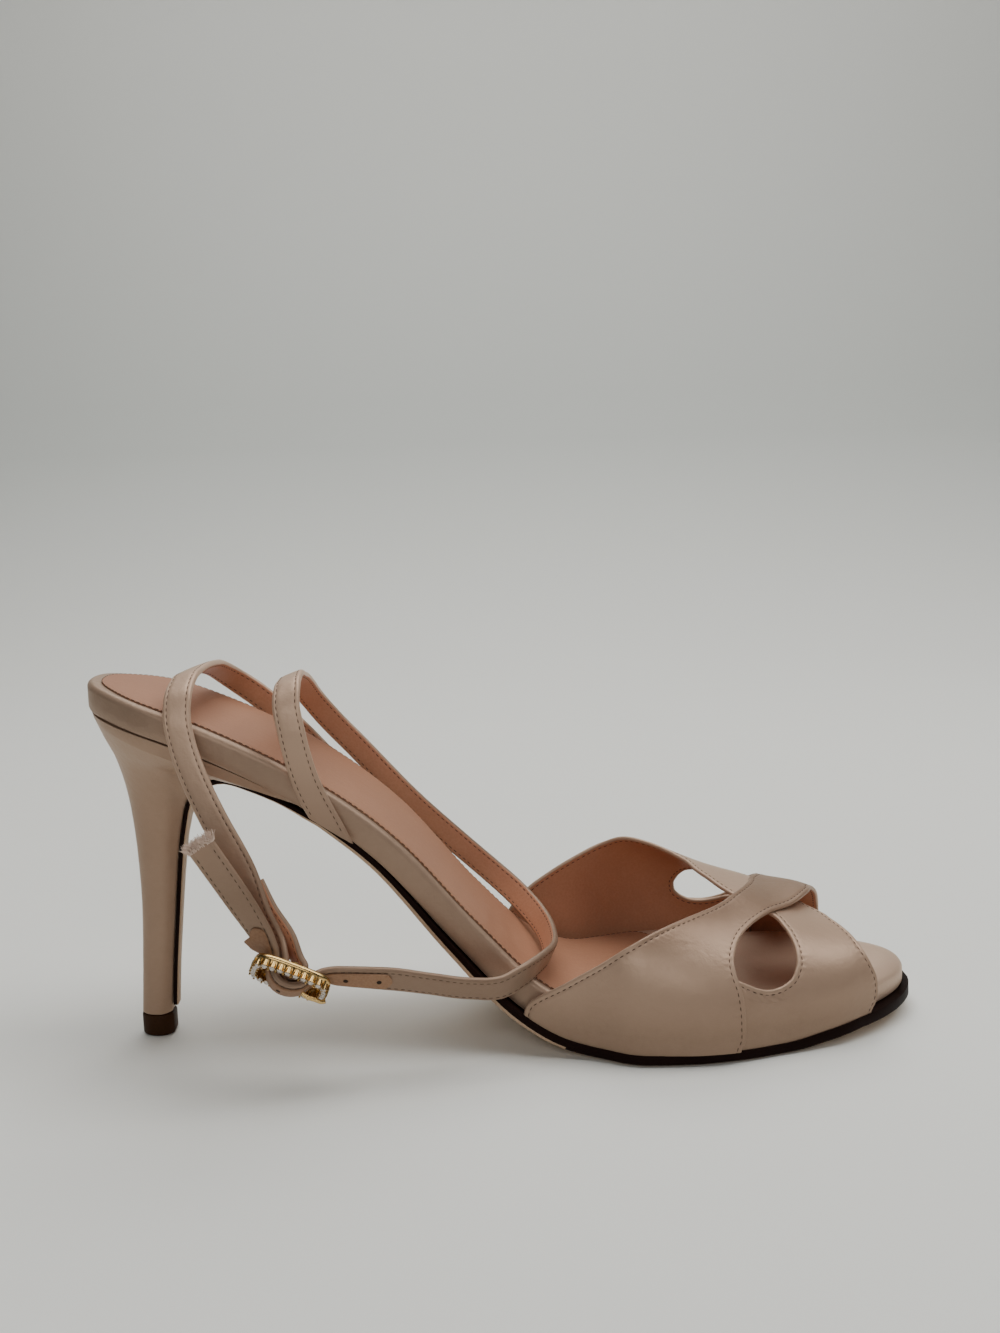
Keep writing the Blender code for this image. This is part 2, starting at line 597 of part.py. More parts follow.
def ribbon_stations(rows, slant, fade):
    """Middle points, directions across and outward normals along a ribbon with a slanted first end."""
    points = np.array([point for point, _ in rows])
    across = np.array([direction / np.linalg.norm(direction) for _, direction in rows])
    steps = np.concatenate([[0.0], np.cumsum(np.linalg.norm(np.diff(points, axis=0), axis=1))])
    fine = []
    for start, end in zip(steps, steps[1:]):
        fine.extend(np.linspace(start, end, STRAP_STEPS, endpoint=False))
    fine = np.array(fine + [steps[-1]])
    middles = np.column_stack([free_curve(steps, points[:, i])(fine) for i in range(3)])
    widths = np.column_stack([level_curve(steps, across[:, i])(fine) for i in range(3)])
    ahead = np.gradient(middles, fine, axis=0)
    leans = slant * (1 - ease(fine, 0.0, fade))
    stations = []
    for middle, width, forward, lean in zip(middles, widths, ahead, leans):
        forward = Vector(forward).normalized()
        width = Vector(width)
        width = (width - forward * width.dot(forward)).normalized()
        stations.append((Vector(middle), width + forward * float(lean), width.cross(forward).normalized()))
    return stations


def make_ribbon(name, stations, width, low, high, slot, parts):
    """A flat strap of a width, between two heights along its outward normal."""
    corners = ((-0.5, low), (0.5, low), (0.5, high), (-0.5, high))
    rings = [
        [middle + across * (width * share) + out * rise for share, rise in corners]
        for middle, across, out in stations
    ]
    return add_object(name, loft(rings), slot, parts)


def make_straps(parts):
    half = STRAP_THICKNESS / 2
    long_rows = rows_of(LONG_ROOT) + buckle_rows(LONG_THROUGH) + rows_of(LONG_TAIL)
    long_stations = ribbon_stations(long_rows, LONG_SLANT, LONG_SLANT_FADE)
    made = [make_ribbon("strap_long", long_stations, STRAP_WIDTH, -half, half, "satin", parts)]
    short_rows = rows_of(SHORT_ROOT) + buckle_rows(SHORT_LOOP)
    short_stations = ribbon_stations(short_rows, SHORT_SLANT, SHORT_SLANT_FADE)
    made.append(make_ribbon("strap_short", short_stations, STRAP_WIDTH, -half, half, "satin", parts))
    first, last = (row * STRAP_STEPS for row in PATCH_ROWS)
    low = half + PATCH_GAP
    high = low + PATCH_THICKNESS
    patch = make_ribbon("hole_patch", long_stations[first:last], PATCH_WIDTH, low, high, "patch", parts)
    return made + [patch]


def make_wire(name, points, radius, slot, collection):
    """A round wire through points, as a mesh with its caps welded."""
    curve = bpy.data.curves.new(name, "CURVE")
    curve.dimensions = "3D"
    curve.bevel_depth = radius * MM
    curve.bevel_resolution = 2
    curve.use_fill_caps = True
    spline = curve.splines.new("POLY")
    spline.points.add(len(points) - 1)
    for knot, point in zip(spline.points, points):
        knot.co = (*(point * MM), 1.0)
    guide = bpy.data.objects.new(name + "_guide", curve)
    collection.objects.link(guide)
    bpy.context.view_layer.update()
    graph = bpy.context.evaluated_depsgraph_get()
    mesh = bpy.data.meshes.new_from_object(guide.evaluated_get(graph))
    bpy.data.objects.remove(guide)
    bm = bmesh.new()
    bm.from_mesh(mesh)
    bpy.data.meshes.remove(mesh)
    bmesh.ops.remove_doubles(bm, verts=bm.verts, dist=WELD * MM)
    bmesh.ops.scale(bm, vec=(1 / MM, 1 / MM, 1 / MM), verts=bm.verts)
    return add_object(name, bm, slot, collection)


def frame_rings():
    """The frame's section, carried round a long oval."""
    turns = np.linspace(0.0, 2 * math.pi, FRAME_POINTS, endpoint=False)
    cosines, sines = np.cos(turns), np.sin(turns)
    along = FRAME_HALF_LENGTH * np.sign(cosines) * np.abs(cosines) ** (2 / FRAME_POWER)
    across = FRAME_HALF_WIDTH * np.sign(sines) * np.abs(sines) ** (2 / FRAME_POWER)
    middles = np.column_stack([along, across])
    ahead = np.roll(middles, -1, axis=0) - np.roll(middles, 1, axis=0)
    ahead /= np.linalg.norm(ahead, axis=1)[:, None]
    rings = []
    for (a, b), (ahead_a, ahead_b) in zip(middles, ahead):
        ring = []
        for side, out in zip(FRAME_SECTION["side"], FRAME_SECTION["out"]):
            ring.append(buckle_point(a + ahead_b * side, b - ahead_a * side, out))
        rings.append(ring)
    return rings


def make_buckle(parts, cutters):
    frame = add_object("buckle_frame", loft(frame_rings(), endless=True), "gold", parts)
    bar_ends = [buckle_point(0.0, side * FRAME_HALF_WIDTH, BAR_OUT) for side in (-1, 1)]
    bar = as_cutter(make_wire("buckle_bar", bar_ends, BAR_WIRE, "gold", cutters))
    add_boolean(frame, "UNION", bar)
    route = [buckle_point(along, 0.0, out) for along, out in zip(PRONG_ROUTE["along"], PRONG_ROUTE["out"])]
    prong = make_wire("buckle_prong", route, PRONG_WIRE, "gold", parts)
    return [frame, prong]


def stand_on_origin(pieces):
    """One empty carries the pieces and puts the middle of their box, on the floor, at the origin."""
    bpy.context.view_layer.update()
    graph = bpy.context.evaluated_depsgraph_get()
    corners = [
        piece.matrix_world @ Vector(corner)
        for piece in pieces
        for corner in piece.evaluated_get(graph).bound_box
    ]
    low = [min(corner[i] for corner in corners) for i in range(3)]
    high = [max(corner[i] for corner in corners) for i in range(3)]
    root = bpy.data.objects.new("shoe_root", None)
    pieces[0].users_collection[0].objects.link(root)
    root.location = (-(low[0] + high[0]) / 2, -(low[1] + high[1]) / 2, -low[2])
    for piece in pieces:
        piece.parent = root
    for cutter in bpy.data.collections["cutters"].objects:
        cutter.parent = root


def new_collection(name):
    made = bpy.data.collections.new(name)
    bpy.context.scene.collection.children.link(made)
    return made


def main():
    for old in list(bpy.data.objects):
        bpy.data.objects.remove(old)
    parts = new_collection("slingback_heel")
    cutters = new_collection("cutters")
    pieces = [make_footbed(parts), make_sock(parts), make_outsole(parts)]
    pieces += [make_heel(parts), make_heel_tip(parts)]
    pieces.append(make_upper(parts, cutters))
    pieces += make_straps(parts)
    pieces += make_buckle(parts, cutters)
    stand_on_origin(pieces)


main()
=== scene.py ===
"""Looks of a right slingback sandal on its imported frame: bands, straps, linings, heel, sole and buckle.

Shapes are worked out in millimetres in the shoe's own axes: X from the footbed's back to the toe, -Y the
outer side of the foot, Z over the floor. add_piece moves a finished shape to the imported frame, in metres.
"""

import logging
import math
import random
from collections.abc import Callable, Sequence
from dataclasses import dataclass, field, replace
from enum import Enum
from typing import Any

import bmesh
import bpy
import numpy as np
from mathutils import Matrix, Vector


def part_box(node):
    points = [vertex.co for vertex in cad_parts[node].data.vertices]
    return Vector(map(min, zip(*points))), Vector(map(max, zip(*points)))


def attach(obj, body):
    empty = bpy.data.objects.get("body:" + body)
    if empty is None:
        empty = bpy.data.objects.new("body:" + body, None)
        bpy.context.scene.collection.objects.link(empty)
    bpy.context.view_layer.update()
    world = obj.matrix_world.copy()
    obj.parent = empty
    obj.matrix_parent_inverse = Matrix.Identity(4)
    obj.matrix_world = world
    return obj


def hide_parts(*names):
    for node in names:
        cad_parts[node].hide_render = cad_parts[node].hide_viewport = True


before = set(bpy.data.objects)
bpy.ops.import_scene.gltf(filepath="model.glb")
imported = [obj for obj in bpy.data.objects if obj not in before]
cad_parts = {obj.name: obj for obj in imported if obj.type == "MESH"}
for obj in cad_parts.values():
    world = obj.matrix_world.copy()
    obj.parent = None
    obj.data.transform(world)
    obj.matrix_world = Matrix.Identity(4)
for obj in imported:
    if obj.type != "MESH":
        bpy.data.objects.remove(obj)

Array = np.ndarray
Colour = tuple[float, float, float]
Triple = tuple[float, float, float]
Span = tuple[float, float]
Rows = Sequence[Sequence[float]]
Station = tuple[np.ndarray, float, float, float]
Mesh = bmesh.types.BMesh
Material = bpy.types.Material

LOG = logging.getLogger("slingback")
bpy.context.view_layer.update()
BODY = "root"
MM = 0.001  # metres in a millimetre
WELD = 0.004  # points nearer than this, in millimetres, are one
TIP_BACK_X = 7.75  # X of the top lift's back in the shoe's own axes
CREASE_DEG = 38.0  # faces that meet at a larger angle keep a sharp edge
TOE_END = 218.3  # X of the sole's front end
TOE_ROUND = 38.0  # length over which that end is rounded
STEEP = 0.8  # a wire that starts more upright than this takes Y as its helper
MIX_LOW, MIX_HIGH, MIX_RESULT = 6, 7, 2  # the Mix node's colour sockets


class Slope(Enum):
    """How a curve leans at the points of its table."""

    LEVEL = "never overshoots"
    FREE = "leans as its neighbours do"
    BED = "free, but level along like heights"


class Side(Enum):
    """Sides of the foot, by the sign of Y."""

    OUTER = -1
    INNER = 1


class Axis(Enum):
    """An axis along which a colour changes."""

    X = "X"
    Z = "Z"


class Slot(Enum):
    """The record's material slots."""

    SATIN = "satin"
    LINING = "lining"
    EDGE = "edge"
    PATCH = "patch"
    GOLD = "gold"


class Curve:
    """A smooth curve through a short table of points."""

    def __init__(self, xs: Sequence[float], ys: Sequence[float], slope: Slope = Slope.LEVEL) -> None:
        """Keeps the points and works out their slopes.

        Args:
            xs: Rising places of the points.
            ys: Values at the points.
            slope: How the curve leans at the points.
        """
        self.xs = np.asarray(xs, float)
        self.ys = np.asarray(ys, float)
        self.slopes = self._level() if slope is Slope.LEVEL else np.gradient(self.ys, self.xs)
        if slope is Slope.BED:
            flat = np.diff(self.ys) == 0
            self.slopes[:-1][flat] = 0.0
            self.slopes[1:][flat] = 0.0

    def _level(self) -> Array:
        """Slopes that never carry the curve past its points."""
        chords = np.diff(self.ys) / np.diff(self.xs)
        slopes = np.concatenate([chords[:1], np.zeros(len(chords) - 1), chords[-1:]])
        before, after = chords[:-1], chords[1:]
        same = before * after > 0
        slopes[1:-1][same] = 2 * before[same] * after[same] / (before[same] + after[same])
        return slopes

    def __call__(self, x: Any) -> Array:
        """Values of the curve.

        Args:
            x: Places along it.

        Returns:
            One value for each place.
        """
        x = np.clip(x, self.xs[0], self.xs[-1])
        i = np.clip(np.searchsorted(self.xs, x, side="right") - 1, 0, len(self.xs) - 2)
        h = self.xs[i + 1] - self.xs[i]
        t = (x - self.xs[i]) / h
        start = (1 + 2 * t) * (1 - t) ** 2 * self.ys[i] + t * (1 - t) ** 2 * h * self.slopes[i]
        end = t * t * (3 - 2 * t) * self.ys[i + 1] + t * t * (t - 1) * h * self.slopes[i + 1]
        return start + end


def columns(rows: Rows) -> list[Array]:
    """A table's columns as arrays."""
    return [np.array(column, float) for column in zip(*rows)]


def ease(x: Any, start: float, end: float) -> Array:
    """0 before start, 1 after end, smooth between."""
    t = np.clip((x - start) / (end - start), 0.0, 1.0)
    return t * t * (3 - 2 * t)


def unit(vectors: Array) -> Array:
    """Vectors brought to length 1."""
    return vectors / np.linalg.norm(vectors, axis=-1, keepdims=True)


def run_length(points: Array) -> Array:
    """Length along a row of points, from its first."""
    steps = np.linalg.norm(np.diff(points, axis=0), axis=-1)
    return np.concatenate([np.zeros_like(steps[:1]), np.cumsum(steps, axis=0)])


def point_at(here: float, along: Array, points: Array) -> Array:
    """The point of a row at a length along it."""
    return np.array([np.interp(here, along, points[:, k]) for k in range(3)])


def hump(x: Any, middle: float, half: float) -> Array:
    """1 at the middle, fading to both sides."""
    return np.exp(-((x - middle) / half) ** 2)


def edge_drop(distance: Array, radius: float) -> Array:
    """How far a rounded edge lies below its face, by distance from the edge."""
    inside = np.clip(radius - distance, 0.0, radius)
    return radius - np.sqrt(np.clip(radius * radius - inside ** 2, 0.0, None))


def axes_turn(x: Any, y: Any, z: Any) -> Matrix:
    """Three axes as a rotation."""
    return Matrix((x, y, z)).transposed().to_4x4()


def frame_shift() -> Vector:
    """Where the shoe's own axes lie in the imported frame, in millimetres."""
    low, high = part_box("heel_tip")
    return Vector((low.x / MM - TIP_BACK_X, (low.y + high.y) / 2 / MM, 0.0))


SHIFT = frame_shift()


def skin(points: Array, slots: Array | None = None) -> Mesh:
    """A grid laid on rows and columns of points. Points that coincide are welded, which closes a ring.

    Args:
        points: Places in millimetres, as (rows, columns, 3).
        slots: Material of each cell, as (rows - 1, columns - 1).

    Returns:
        The new bmesh, in millimetres.
    """
    down, wide = points.shape[0] - 1, points.shape[1] - 1
    bm = bmesh.new()
    bmesh.ops.create_grid(bm, x_segments=wide, y_segments=down, size=1.0)
    spots = {}
    for vert in bm.verts:
        spots[vert] = (round((vert.co.y + 1) / 2 * down), round((vert.co.x + 1) / 2 * wide))
    if slots is not None:
        for face in bm.faces:
            middle = face.calc_center_median()
            row, column = int((middle.y + 1) / 2 * down), int((middle.x + 1) / 2 * wide)
            face.material_index = int(slots[row, column])
    for vert, spot in spots.items():
        vert.co = points[spot]
    bmesh.ops.remove_doubles(bm, verts=bm.verts, dist=WELD)
    return bm


def cap(bm: Mesh) -> Mesh:
    """The same skin with its open ends closed."""
    bmesh.ops.holes_fill(bm, edges=[edge for edge in bm.edges if edge.is_boundary], sides=0)
    return bm


def gather(into: Mesh, part: Mesh) -> None:
    """Adds one bmesh to another.

    Args:
        into: The bmesh that grows.
        part: The bmesh that is added, and freed.
    """
    held = bpy.data.meshes.new("held")
    part.to_mesh(held)
    part.free()
    into.from_mesh(held)
    bpy.data.meshes.remove(held)


def closed(ring: Array) -> Array:
    """Rows of points with their first column repeated at the end, so that skin closes them."""
    return np.concatenate([ring, ring[:, :1]], axis=1)


def tube(rings: Any) -> Mesh:
    """A closed skin over rings of points, with its two ends capped."""
    return cap(skin(closed(np.asarray(rings))))


def stub(bm: Mesh, spot: Any, turn: Matrix, radii: Span, depth: float, sides: int) -> None:
    """Adds a capped round stub.

    Args:
        bm: Where it goes.
        spot: Its middle.
        turn: Its axes, with Z along it.
        radii: Its radius at the start and at the end.
        depth: Its length.
        sides: Points round it.
    """
    place = Matrix.Translation(spot) @ turn
    bmesh.ops.create_cone(bm, cap_ends=True, segments=sides, radius1=radii[0], radius2=radii[1],
                          depth=depth, matrix=place)


def wire(path: Array, radius: float, sides: int = 12) -> Mesh:
    """A round wire along a path.

    Args:
        path: Points in millimetres.
        radius: Half the wire's thickness.
        sides: Points round it.

    Returns:
        The new bmesh.
    """
    ahead = unit(np.gradient(path, axis=0))
    helper = np.array([0.0, 0.0, 1.0]) if abs(ahead[0, 2]) < STEEP else np.array([0.0, 1.0, 0.0])
    first = unit(np.cross(ahead, helper))
    second = np.cross(ahead, first)
    turns = np.linspace(0.0, 2 * math.pi, sides, endpoint=False)
    ring = first[:, None] * np.cos(turns)[None, :, None] + second[:, None] * np.sin(turns)[None, :, None]
    return tube(path[:, None] + radius * ring)


def link(name: str, data: bpy.types.ID) -> bpy.types.Object:
    """A new object in the scene, with its data."""
    made = bpy.data.objects.new(name, data)
    bpy.context.scene.collection.objects.link(made)
    return made


def shaped(name: str, bm: Mesh, finishes: Sequence[Material]) -> bpy.types.Object:
    """A smooth object made from a bmesh.

    Args:
        name: Its name.
        bm: Its shape, in metres. It is freed.
        finishes: Materials, in the order of the faces' material indexes.

    Returns:
        The new object.
    """
    mesh = bpy.data.meshes.new(name)
    bm.to_mesh(mesh)
    bm.free()
    mesh.shade_smooth()
    for finish in finishes:
        mesh.materials.append(finish)
    return link(name, mesh)


def add_piece(name: str, bm: Mesh, finishes: Sequence[Material],
              replaced: Sequence[str] = ()) -> None:
    """Makes a finished piece that rides on the shoe.

    Args:
        name: The piece's name.
        bm: Its shape in millimetres, in the shoe's own axes. It is freed.
        finishes: Materials, in the order of the faces' material indexes.
        replaced: CAD nodes that it stands for.
    """
    bmesh.ops.recalc_face_normals(bm, faces=bm.faces)
    bmesh.ops.translate(bm, vec=SHIFT, verts=bm.verts)
    bmesh.ops.scale(bm, vec=(MM, MM, MM), verts=bm.verts)
    piece = shaped(name, bm, finishes)
    piece.data.set_sharp_from_angle(angle=math.radians(CREASE_DEG))
    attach(piece, BODY)
    if replaced:
        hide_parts(*replaced)
    LOG.info("%s: %d faces", name, len(piece.data.polygons))


class Wire:
    """One socket of a material. Arithmetic on it adds Math nodes."""

    def __init__(self, shader: "Shader", socket: bpy.types.NodeSocket) -> None:
        """Keeps the socket and the material that it belongs to."""
        self.shader = shader
        self.socket = socket

    def _math(self, operation: str, first: Any, second: Any) -> "Wire":
        """One Math node on two values."""
        return self.shader.node("ShaderNodeMath", {"operation": operation}, {0: first, 1: second})

    def __add__(self, other: Any) -> "Wire":
        """The sum."""
        return self._math("ADD", self, other)

    def __radd__(self, other: Any) -> "Wire":
        """The sum, from the right."""
        return self._math("ADD", other, self)

    def __mul__(self, other: Any) -> "Wire":
        """The product."""
        return self._math("MULTIPLY", self, other)


class Shader:
    """One material's node tree."""

    def __init__(self, name: str) -> None:
        """An empty material with its Principled shader."""
        self.material = bpy.data.materials.new(name)
        self.material.use_nodes = True
        self.tree = self.material.node_tree
        self.surface = self.tree.nodes["Principled BSDF"]

    def node(self, kind: str, settings: dict[str, Any] | None = None,
             inputs: dict[Any, Any] | None = None, output: Any = 0) -> Wire:
        """A node with its settings, then the values or links of its sockets.

        Args:
            kind: Blender's name of the node's type.
            settings: Attributes of the node.
            inputs: Values or wires by the name or place of the socket.
            output: Name or place of the socket that is given back.

        Returns:
            The output as a wire.
        """
        made = self.tree.nodes.new(kind)
        for name, value in (settings or {}).items():
            setattr(made, name, value)
        for name, value in (inputs or {}).items():
            self._feed(made.inputs[name], value)
        return Wire(self, made.outputs[output])

    def _feed(self, socket: bpy.types.NodeSocket, value: Any) -> None:
        """Links a wire to a socket, or sets a plain value on it."""
        if isinstance(value, Wire):
            self.tree.links.new(value.socket, socket)
        else:
            socket.default_value = value

    def set(self, **values: Any) -> None:
        """Sets or links the shader's own sockets, named with _ for a space."""
        for name, value in values.items():
            self._feed(self.surface.inputs[name.replace("_", " ")], value)

    def place(self) -> Wire:
        """Object coordinates, in metres."""
        return self.node("ShaderNodeTexCoord", output="Object")

    def noise(self, vector: Wire, scale: float, detail: float = 2.0, rough: float = 0.5) -> Wire:
        """Values of a noise from 0 to 1."""
        return self.node("ShaderNodeTexNoise", inputs={
            "Vector": vector, "Scale": scale, "Detail": detail, "Roughness": rough}, output="Fac")

    def streaks(self, vector: Wire, scale: Triple, detail: float = 1.0, rough: float = 0.5) -> Wire:
        """Values of a noise with a scale of its own along each axis, from 0 to 1."""
        drawn = self.node("ShaderNodeMapping", inputs={"Vector": vector, "Scale": scale})
        return self.noise(drawn, 1.0, detail, rough)

    def blend(self, share: Wire, low: Wire | Colour, high: Colour) -> Wire:
        """A colour, or a wire that carries one, mixed with a plain colour by a share."""
        first = low if isinstance(low, Wire) else (*low, 1.0)
        inputs = {"Factor": share, MIX_LOW: first, MIX_HIGH: (*high, 1.0)}
        return self.node("ShaderNodeMix", {"data_type": "RGBA"}, inputs, MIX_RESULT)

    def clamp(self, value: Wire, low: float, high: float) -> Wire:
        """0 at low, 1 at high, held between."""
        return self.node("ShaderNodeMapRange", {"clamp": True}, {
            "Value": value, "From Min": low, "From Max": high}, output=0)

    def bump(self, height: Wire, depth_mm: float, strength: float = 1.0, under: Wire | None = None) -> Wire:
        """A bump in the surface.

        Args:
            height: Its height, from 0 to 1.
            depth_mm: Millimetres that a height of 1 stands for.
            strength: Share of the bump that shows.
            under: A bump that it lies on.

        Returns:
            The bent normal.
        """
        inputs: dict[str, Any] = {"Height": height, "Distance": depth_mm * MM, "Strength": strength}
        if under is not None:
            inputs["Normal"] = under
        return self.node("ShaderNodeBump", inputs=inputs)


@dataclass(frozen=True)
class Finish:
    """A material's name, and the two tones between which it varies."""

    name: str
    light: Colour
    deep: Colour

    def material(self) -> Material:
        """The finish as a new material."""
        sh = Shader(self.name)
        self.dress(sh, sh.place())
        return sh.material

    def dress(self, sh: Shader, place: Wire) -> None:
        """Wires the finish. Each kind has its own."""
        raise NotImplementedError


@dataclass(frozen=True)
class SatinFinish(Finish):
    """Champagne satin: fine floats of thread, a soft broad sheen and faint puckers."""

    name: str = "champagne_satin"
    light: Colour = (0.383, 0.258, 0.183)
    deep: Colour = (0.343, 0.227, 0.158)
    roughness: float = 0.40
    metal: float = 0.25
    cloud_scale: float = 60.0
    thread_scale: Triple = (400.0, 9000.0, 9000.0)
    cross_scale: Triple = (6000.0, 900.0, 900.0)
    mottle_scale: float = 520.0
    tone_shares: Triple = (0.4, 0.3, 0.3)
    tone_span: Span = (0.35, 0.65)
    rough_shares: Span = (0.08, 0.12)
    cross_share: float = 0.5
    pucker_mm: float = 0.12
    thread_mm: float = 0.012
    sheen: float = 0.08
    sheen_roughness: float = 0.4
    tint: tuple[float, float, float, float] = (1.0, 0.8, 0.62, 1.0)
    # far, with its axis and span, paints light and shade: the colour shifts from the base tones to far along
    # X or Z.
    far: Colour | None = None
    painted_light_axis: Axis = Axis.X
    painted_light_from: Span = (0.02, 0.06)
    # top, with its span, paints shade: higher up the colour darkens again to top.
    top: Colour | None = None
    painted_top_from: Span = (0.027, 0.034)

    def dress(self, sh: Shader, place: Wire) -> None:
        """Wires the cloth's tones with their painted light and shade, its gloss and relief.

        Args:
            sh: The material's node tree.
            place: Object coordinates.
        """
        cloud = sh.noise(place, self.cloud_scale, detail=3.0)
        threads = sh.streaks(place, self.thread_scale)
        cross = sh.streaks(place, self.cross_scale)
        mottle = sh.noise(place, self.mottle_scale, rough=0.6)
        a, b, c = self.tone_shares
        tone = sh.clamp(cloud * a + threads * b + mottle * c, *self.tone_span)
        cloth = sh.blend(tone, self.deep, self.light)
        # Painted light and shade: the colour moves to far along one axis, then down to top above that.
        if self.far is not None:
            along = sh.node("ShaderNodeSeparateXYZ", inputs={"Vector": place}, output=self.painted_light_axis.value)
            cloth = sh.blend(sh.clamp(along, *self.painted_light_from), cloth, self.far)
            if self.top is not None:
                cloth = sh.blend(sh.clamp(along, *self.painted_top_from), cloth, self.top)
        sh.set(Base_Color=cloth)
        a, b = self.rough_shares
        sh.set(Roughness=self.roughness - (a + b) / 2 + threads * a + mottle * b, Metallic=self.metal)
        weave = threads + cross * self.cross_share
        sh.set(Normal=sh.bump(weave, self.thread_mm, under=sh.bump(mottle, self.pucker_mm)))
        sh.set(Sheen_Weight=self.sheen, Sheen_Roughness=self.sheen_roughness)
        sh.set(Sheen_Tint=self.tint, Specular_Tint=self.tint)


@dataclass(frozen=True)
class LeatherFinish(Finish):
    """Smooth leather with fine pores, soft creases and a low gloss."""

    roughness: float = 0.5
    pore_mm: float = 0.04
    gloss: float = 0.25
    cloud_scale: float = 45.0
    pore_scale: float = 1500.0
    crease_scale: Triple = (180.0, 520.0, 180.0)
    crease_share: float = 2.5
    pore_strength: float = 0.6
    tone_shares: Span = (0.7, 0.3)
    tone_span: Span = (0.25, 0.7)
    rough_share: float = 0.12

    def dress(self, sh: Shader, place: Wire) -> None:
        """Wires the leather's tones, gloss and grain.

        Args:
            sh: The material's node tree.
            place: Object coordinates.
        """
        cloud = sh.noise(place, self.cloud_scale, detail=4.0)
        cells = {"Vector": place, "Scale": self.pore_scale}
        pores = sh.node("ShaderNodeTexVoronoi", {"feature": "F1"}, cells, "Distance")
        creases = sh.streaks(place, self.crease_scale, detail=3.0, rough=0.6)
        a, b = self.tone_shares
        tone = sh.clamp(cloud * a + pores * b, *self.tone_span)
        sh.set(Base_Color=sh.blend(tone, self.deep, self.light), Specular_IOR_Level=self.gloss)
        sh.set(Roughness=self.roughness - self.rough_share / 2 + cloud * self.rough_share)
        under = sh.bump(creases, self.pore_mm * self.crease_share)
        sh.set(Normal=sh.bump(pores, self.pore_mm, self.pore_strength, under))


@dataclass(frozen=True)
class ThreadFinish(Finish):
    """Twisted sewing thread."""

    name: str = "sewing_thread"
    light: Colour = (0.11, 0.06, 0.035)
    deep: Colour = (0.05, 0.027, 0.016)
    roughness: float = 0.7
    twist_scale: float = 2600.0
    twist_mm: float = 0.03

    def dress(self, sh: Shader, place: Wire) -> None:
        """Wires the thread's tones and twist.

        Args:
            sh: The material's node tree.
            place: Object coordinates.
        """
        twist = sh.noise(place, self.twist_scale, detail=1.0)
        sh.set(Base_Color=sh.blend(twist, self.deep, self.light), Roughness=self.roughness)
        sh.set(Normal=sh.bump(twist, self.twist_mm))


@dataclass(frozen=True)
class GoldFinish(Finish):
    """Polished gold plate with faint hairlines."""

    name: str = "gold_plate"
    light: Colour = (0.78, 0.55, 0.24)
    deep: Colour = (0.58, 0.37, 0.14)
    haze_scale: float = 700.0
    hair_scale: Triple = (1500.0, 9000.0, 9000.0)
    hair_mm: float = 0.006
    hair_strength: float = 0.5
    roughness: float = 0.18
    rough_share: float = 0.14

    def dress(self, sh: Shader, place: Wire) -> None:
        """Wires the plate's tones, haze and hairlines.

        Args:
            sh: The material's node tree.
            place: Object coordinates.
        """
        haze = sh.noise(place, self.haze_scale, detail=3.0)
        hairs = sh.streaks(place, self.hair_scale)
        sh.set(Base_Color=sh.blend(haze, self.deep, self.light), Metallic=1.0)
        sh.set(Roughness=haze * self.rough_share + self.roughness)
        sh.set(Normal=sh.bump(hairs, self.hair_mm, self.hair_strength))


@dataclass(frozen=True)
class StoneFinish(Finish):
    """Clear cut glass over a bright foil."""

    name: str = "clear_stone"
    light: Colour = (0.72, 0.67, 0.62)
    deep: Colour = (0.30, 0.26, 0.22)
    spark_scale: float = 900.0
    roughness: float = 0.08
    rough_share: float = 0.1
    foil: float = 0.6
    coat: float = 0.6
    coat_roughness: float = 0.02
    ior: float = 1.8

    def dress(self, sh: Shader, place: Wire) -> None:
        """Wires the stone's sparks and its clear coat.

        Args:
            sh: The material's node tree.
            place: Object coordinates.
        """
        spark = sh.noise(place, self.spark_scale, detail=1.0)
        sh.set(Base_Color=sh.blend(spark, self.deep, self.light), Metallic=self.foil)
        sh.set(Roughness=self.roughness + spark * self.rough_share, IOR=self.ior)
        sh.set(Coat_Weight=self.coat, Coat_Roughness=self.coat_roughness)


@dataclass(frozen=True)
class FloorFinish(Finish):
    """Pale seamless paper."""

    name: str = "pale_paper"
    light: Colour = (0.87, 0.875, 0.845)
    deep: Colour = (0.85, 0.855, 0.825)
    # The wall tone is painted shade; the light tone comes back near the top as painted light.
    wall: Colour = (0.60, 0.62, 0.595)
    painted_wall_shade_from: Span = (0.0, 0.16)
    painted_top_from: Span = (0.2, 0.65)
    roughness: float = 0.75
    cloud_scale: float = 9.0
    grain_scale: float = 900.0
    grain_mm: float = 0.03

    def dress(self, sh: Shader, place: Wire) -> None:
        """Wires the paper's tones and grain; up the wall, painted shade, then painted light near its top.

        Args:
            sh: The material's node tree.
            place: Object coordinates.
        """
        height = sh.node("ShaderNodeSeparateXYZ", inputs={"Vector": place}, output="Z")
        paper = sh.blend(sh.noise(place, self.cloud_scale, detail=3.0), self.deep, self.light)
        # Painted shade up the wall, then painted light again towards its top.
        paper = sh.blend(sh.clamp(height, *self.painted_wall_shade_from), paper, self.wall)
        paper = sh.blend(sh.clamp(height, *self.painted_top_from), paper, self.light)
        sh.set(Base_Color=paper, Roughness=self.roughness)
        sh.set(Normal=sh.bump(sh.noise(place, self.grain_scale), self.grain_mm))


